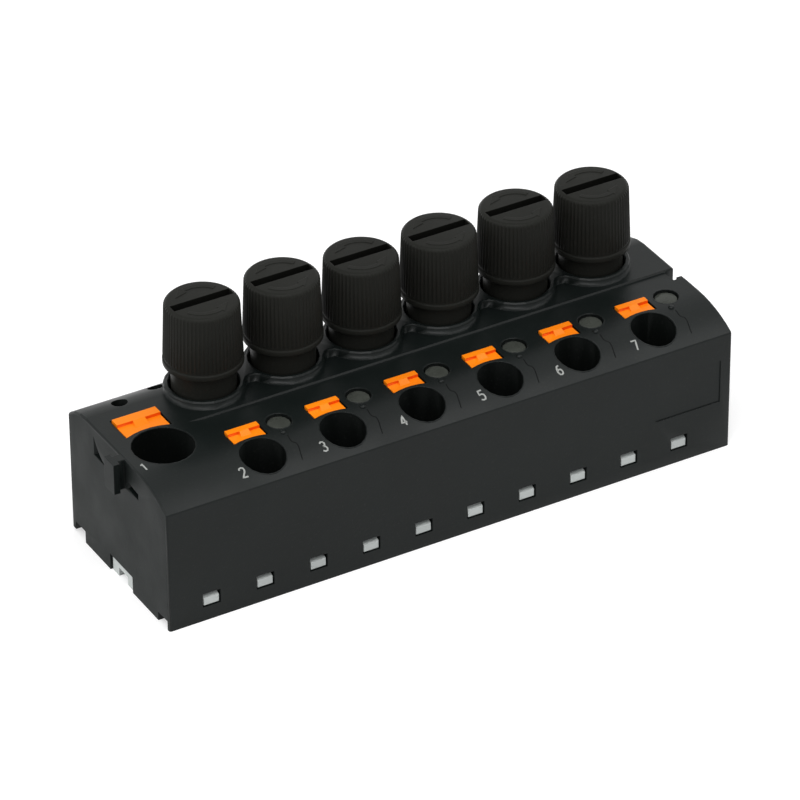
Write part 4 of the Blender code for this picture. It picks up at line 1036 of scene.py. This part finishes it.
def soft_lamp(name, place, side, power):
    """A square lamp that faces the block."""
    light = bpy.data.lights.new(name, "AREA")
    light.size = side
    light.energy = power
    lamp = bpy.data.objects.new(name, light)
    lamp.location = place
    lamp.rotation_euler = (Vector(LAMP_AIM) - Vector(place)).to_track_quat("-Z", "Y").to_euler()
    bpy.context.scene.collection.objects.link(lamp)


def seeing_rays(tree):
    """1 for camera, glossy and transmission rays, and 0 for the rest."""
    path = tree.nodes.new("ShaderNodeLightPath")
    found = path.outputs["Is Camera Ray"]
    for kind in ("Is Glossy Ray", "Is Transmission Ray"):
        either = tree.nodes.new("ShaderNodeMath")
        either.operation = "MAXIMUM"
        tree.links.new(found, either.inputs[0])
        tree.links.new(path.outputs[kind], either.inputs[1])
        found = either.outputs[0]
    return found


def add_floor(sizes):
    """A pale floor that looks white to the rays that see it and keeps the block's shadow."""
    bm = bmesh.new()
    half = FLOOR_HALF
    corners = [(-half, -half), (half, -half), (half, half), (-half, half)]
    bm.faces.new([bm.verts.new((x, y, FLOOR_LEVEL)) for x, y in corners])
    floor = bpy.data.objects.new("floor", finished_mesh(bm, "floor"))
    bpy.context.scene.collection.objects.link(floor)
    made = Nodes("floor_finish")
    rough = made.ramp(made.noise(scale=30, detail=3), low=0.75, high=0.85)
    made.link(rough, made.shader.inputs["Roughness"])
    made.shader.inputs["Base Color"].default_value = (*sizes.floor, 1)
    made.shader.inputs["Emission Color"].default_value = WHITE
    lift = made.ramp(seeing_rays(made.tree), low=0, high=sizes.lift)
    made.link(lift, made.shader.inputs["Emission Strength"])
    floor.data.materials.append(made.material)


def add_world(sizes):
    """Even light on the block, with plain white for the rays that see past it."""
    world = bpy.data.worlds.new("even_light")
    bpy.context.scene.world = world
    world.use_nodes = True
    tree = world.node_tree
    lit = tree.nodes["Background"]
    seen = tree.nodes.new("ShaderNodeBackground")
    for background, strength in ((lit, sizes.world), (seen, 1.0)):
        background.inputs["Color"].default_value = WHITE
        background.inputs["Strength"].default_value = strength
    mix = tree.nodes.new("ShaderNodeMixShader")
    tree.links.new(seeing_rays(tree), mix.inputs["Fac"])
    tree.links.new(lit.outputs[0], mix.inputs[1])
    tree.links.new(seen.outputs[0], mix.inputs[2])
    tree.links.new(mix.outputs[0], tree.nodes["World Output"].inputs["Surface"])


def add_camera():
    """The camera at the photograph's place."""
    lens = bpy.data.cameras.new("photo_camera")
    lens.sensor_width = SENSOR
    lens.lens = FOCAL_PIXELS / PHOTO_SIDE * SENSOR
    lens.clip_start, lens.clip_end = CLIP
    camera = bpy.data.objects.new("photo_camera", lens)
    camera.matrix_world = camera_matrix()
    bpy.context.scene.collection.objects.link(camera)
    bpy.context.scene.camera = camera


class BLOCK_OT_stage(bpy.types.Operator):
    """Sets up the floor, the even world light, the soft lamps and the camera"""
    bl_idname = "block.stage"
    bl_label = "Stage"

    def execute(self, context):
        sizes = context.scene.block_stage
        add_floor(sizes)
        add_world(sizes)
        soft_lamp("key_lamp", KEY_PLACE, KEY_SIDE, sizes.key)
        soft_lamp("fill_lamp", FILL_PLACE, FILL_SIDE, sizes.fill)
        soft_lamp("top_lamp", TOP_PLACE, TOP_SIDE, sizes.top)
        add_camera()
        context.scene.view_settings.view_transform = "Standard"
        return {"FINISHED"}


class BLOCK_PT_panel(bpy.types.Panel):
    """Lists the pieces of the block in the 3D view's sidebar"""
    bl_label = "Terminal block"
    bl_idname = "BLOCK_PT_panel"
    bl_space_type = "VIEW_3D"
    bl_region_type = "UI"
    bl_category = "Terminal block"

    def draw(self, context):
        for operator in OPERATORS:
            self.layout.operator(operator.bl_idname)


OPERATORS = (BLOCK_OT_mouldings, BLOCK_OT_lips, BLOCK_OT_buttons, BLOCK_OT_lenses, BLOCK_OT_caps,
             BLOCK_OT_springs, BLOCK_OT_metalwork, BLOCK_OT_marks, BLOCK_OT_stage)
GROUPS = {"block_mouldings": MouldingLooks, "block_buttons": ButtonLooks, "block_caps": CapLooks,
          "block_marks": MarkLooks, "block_stage": StageLooks}


def register():
    for group in GROUPS.values():
        bpy.utils.register_class(group)
    for operator in OPERATORS:
        bpy.utils.register_class(operator)
    bpy.utils.register_class(BLOCK_PT_panel)
    for name, group in GROUPS.items():
        setattr(bpy.types.Scene, name, PointerProperty(type=group))


def unregister():
    for name in GROUPS:
        delattr(bpy.types.Scene, name)
    bpy.utils.unregister_class(BLOCK_PT_panel)
    for operator in reversed(OPERATORS):
        bpy.utils.unregister_class(operator)
    for group in reversed(list(GROUPS.values())):
        bpy.utils.unregister_class(group)


def main():
    register()
    bpy.ops.block.mouldings()
    bpy.ops.block.lips()
    bpy.ops.block.buttons()
    bpy.ops.block.lenses()
    bpy.ops.block.caps()
    bpy.ops.block.springs()
    bpy.ops.block.metalwork()
    bpy.ops.block.marks()
    bpy.ops.block.stage()


if __name__ == "__main__":
    main()
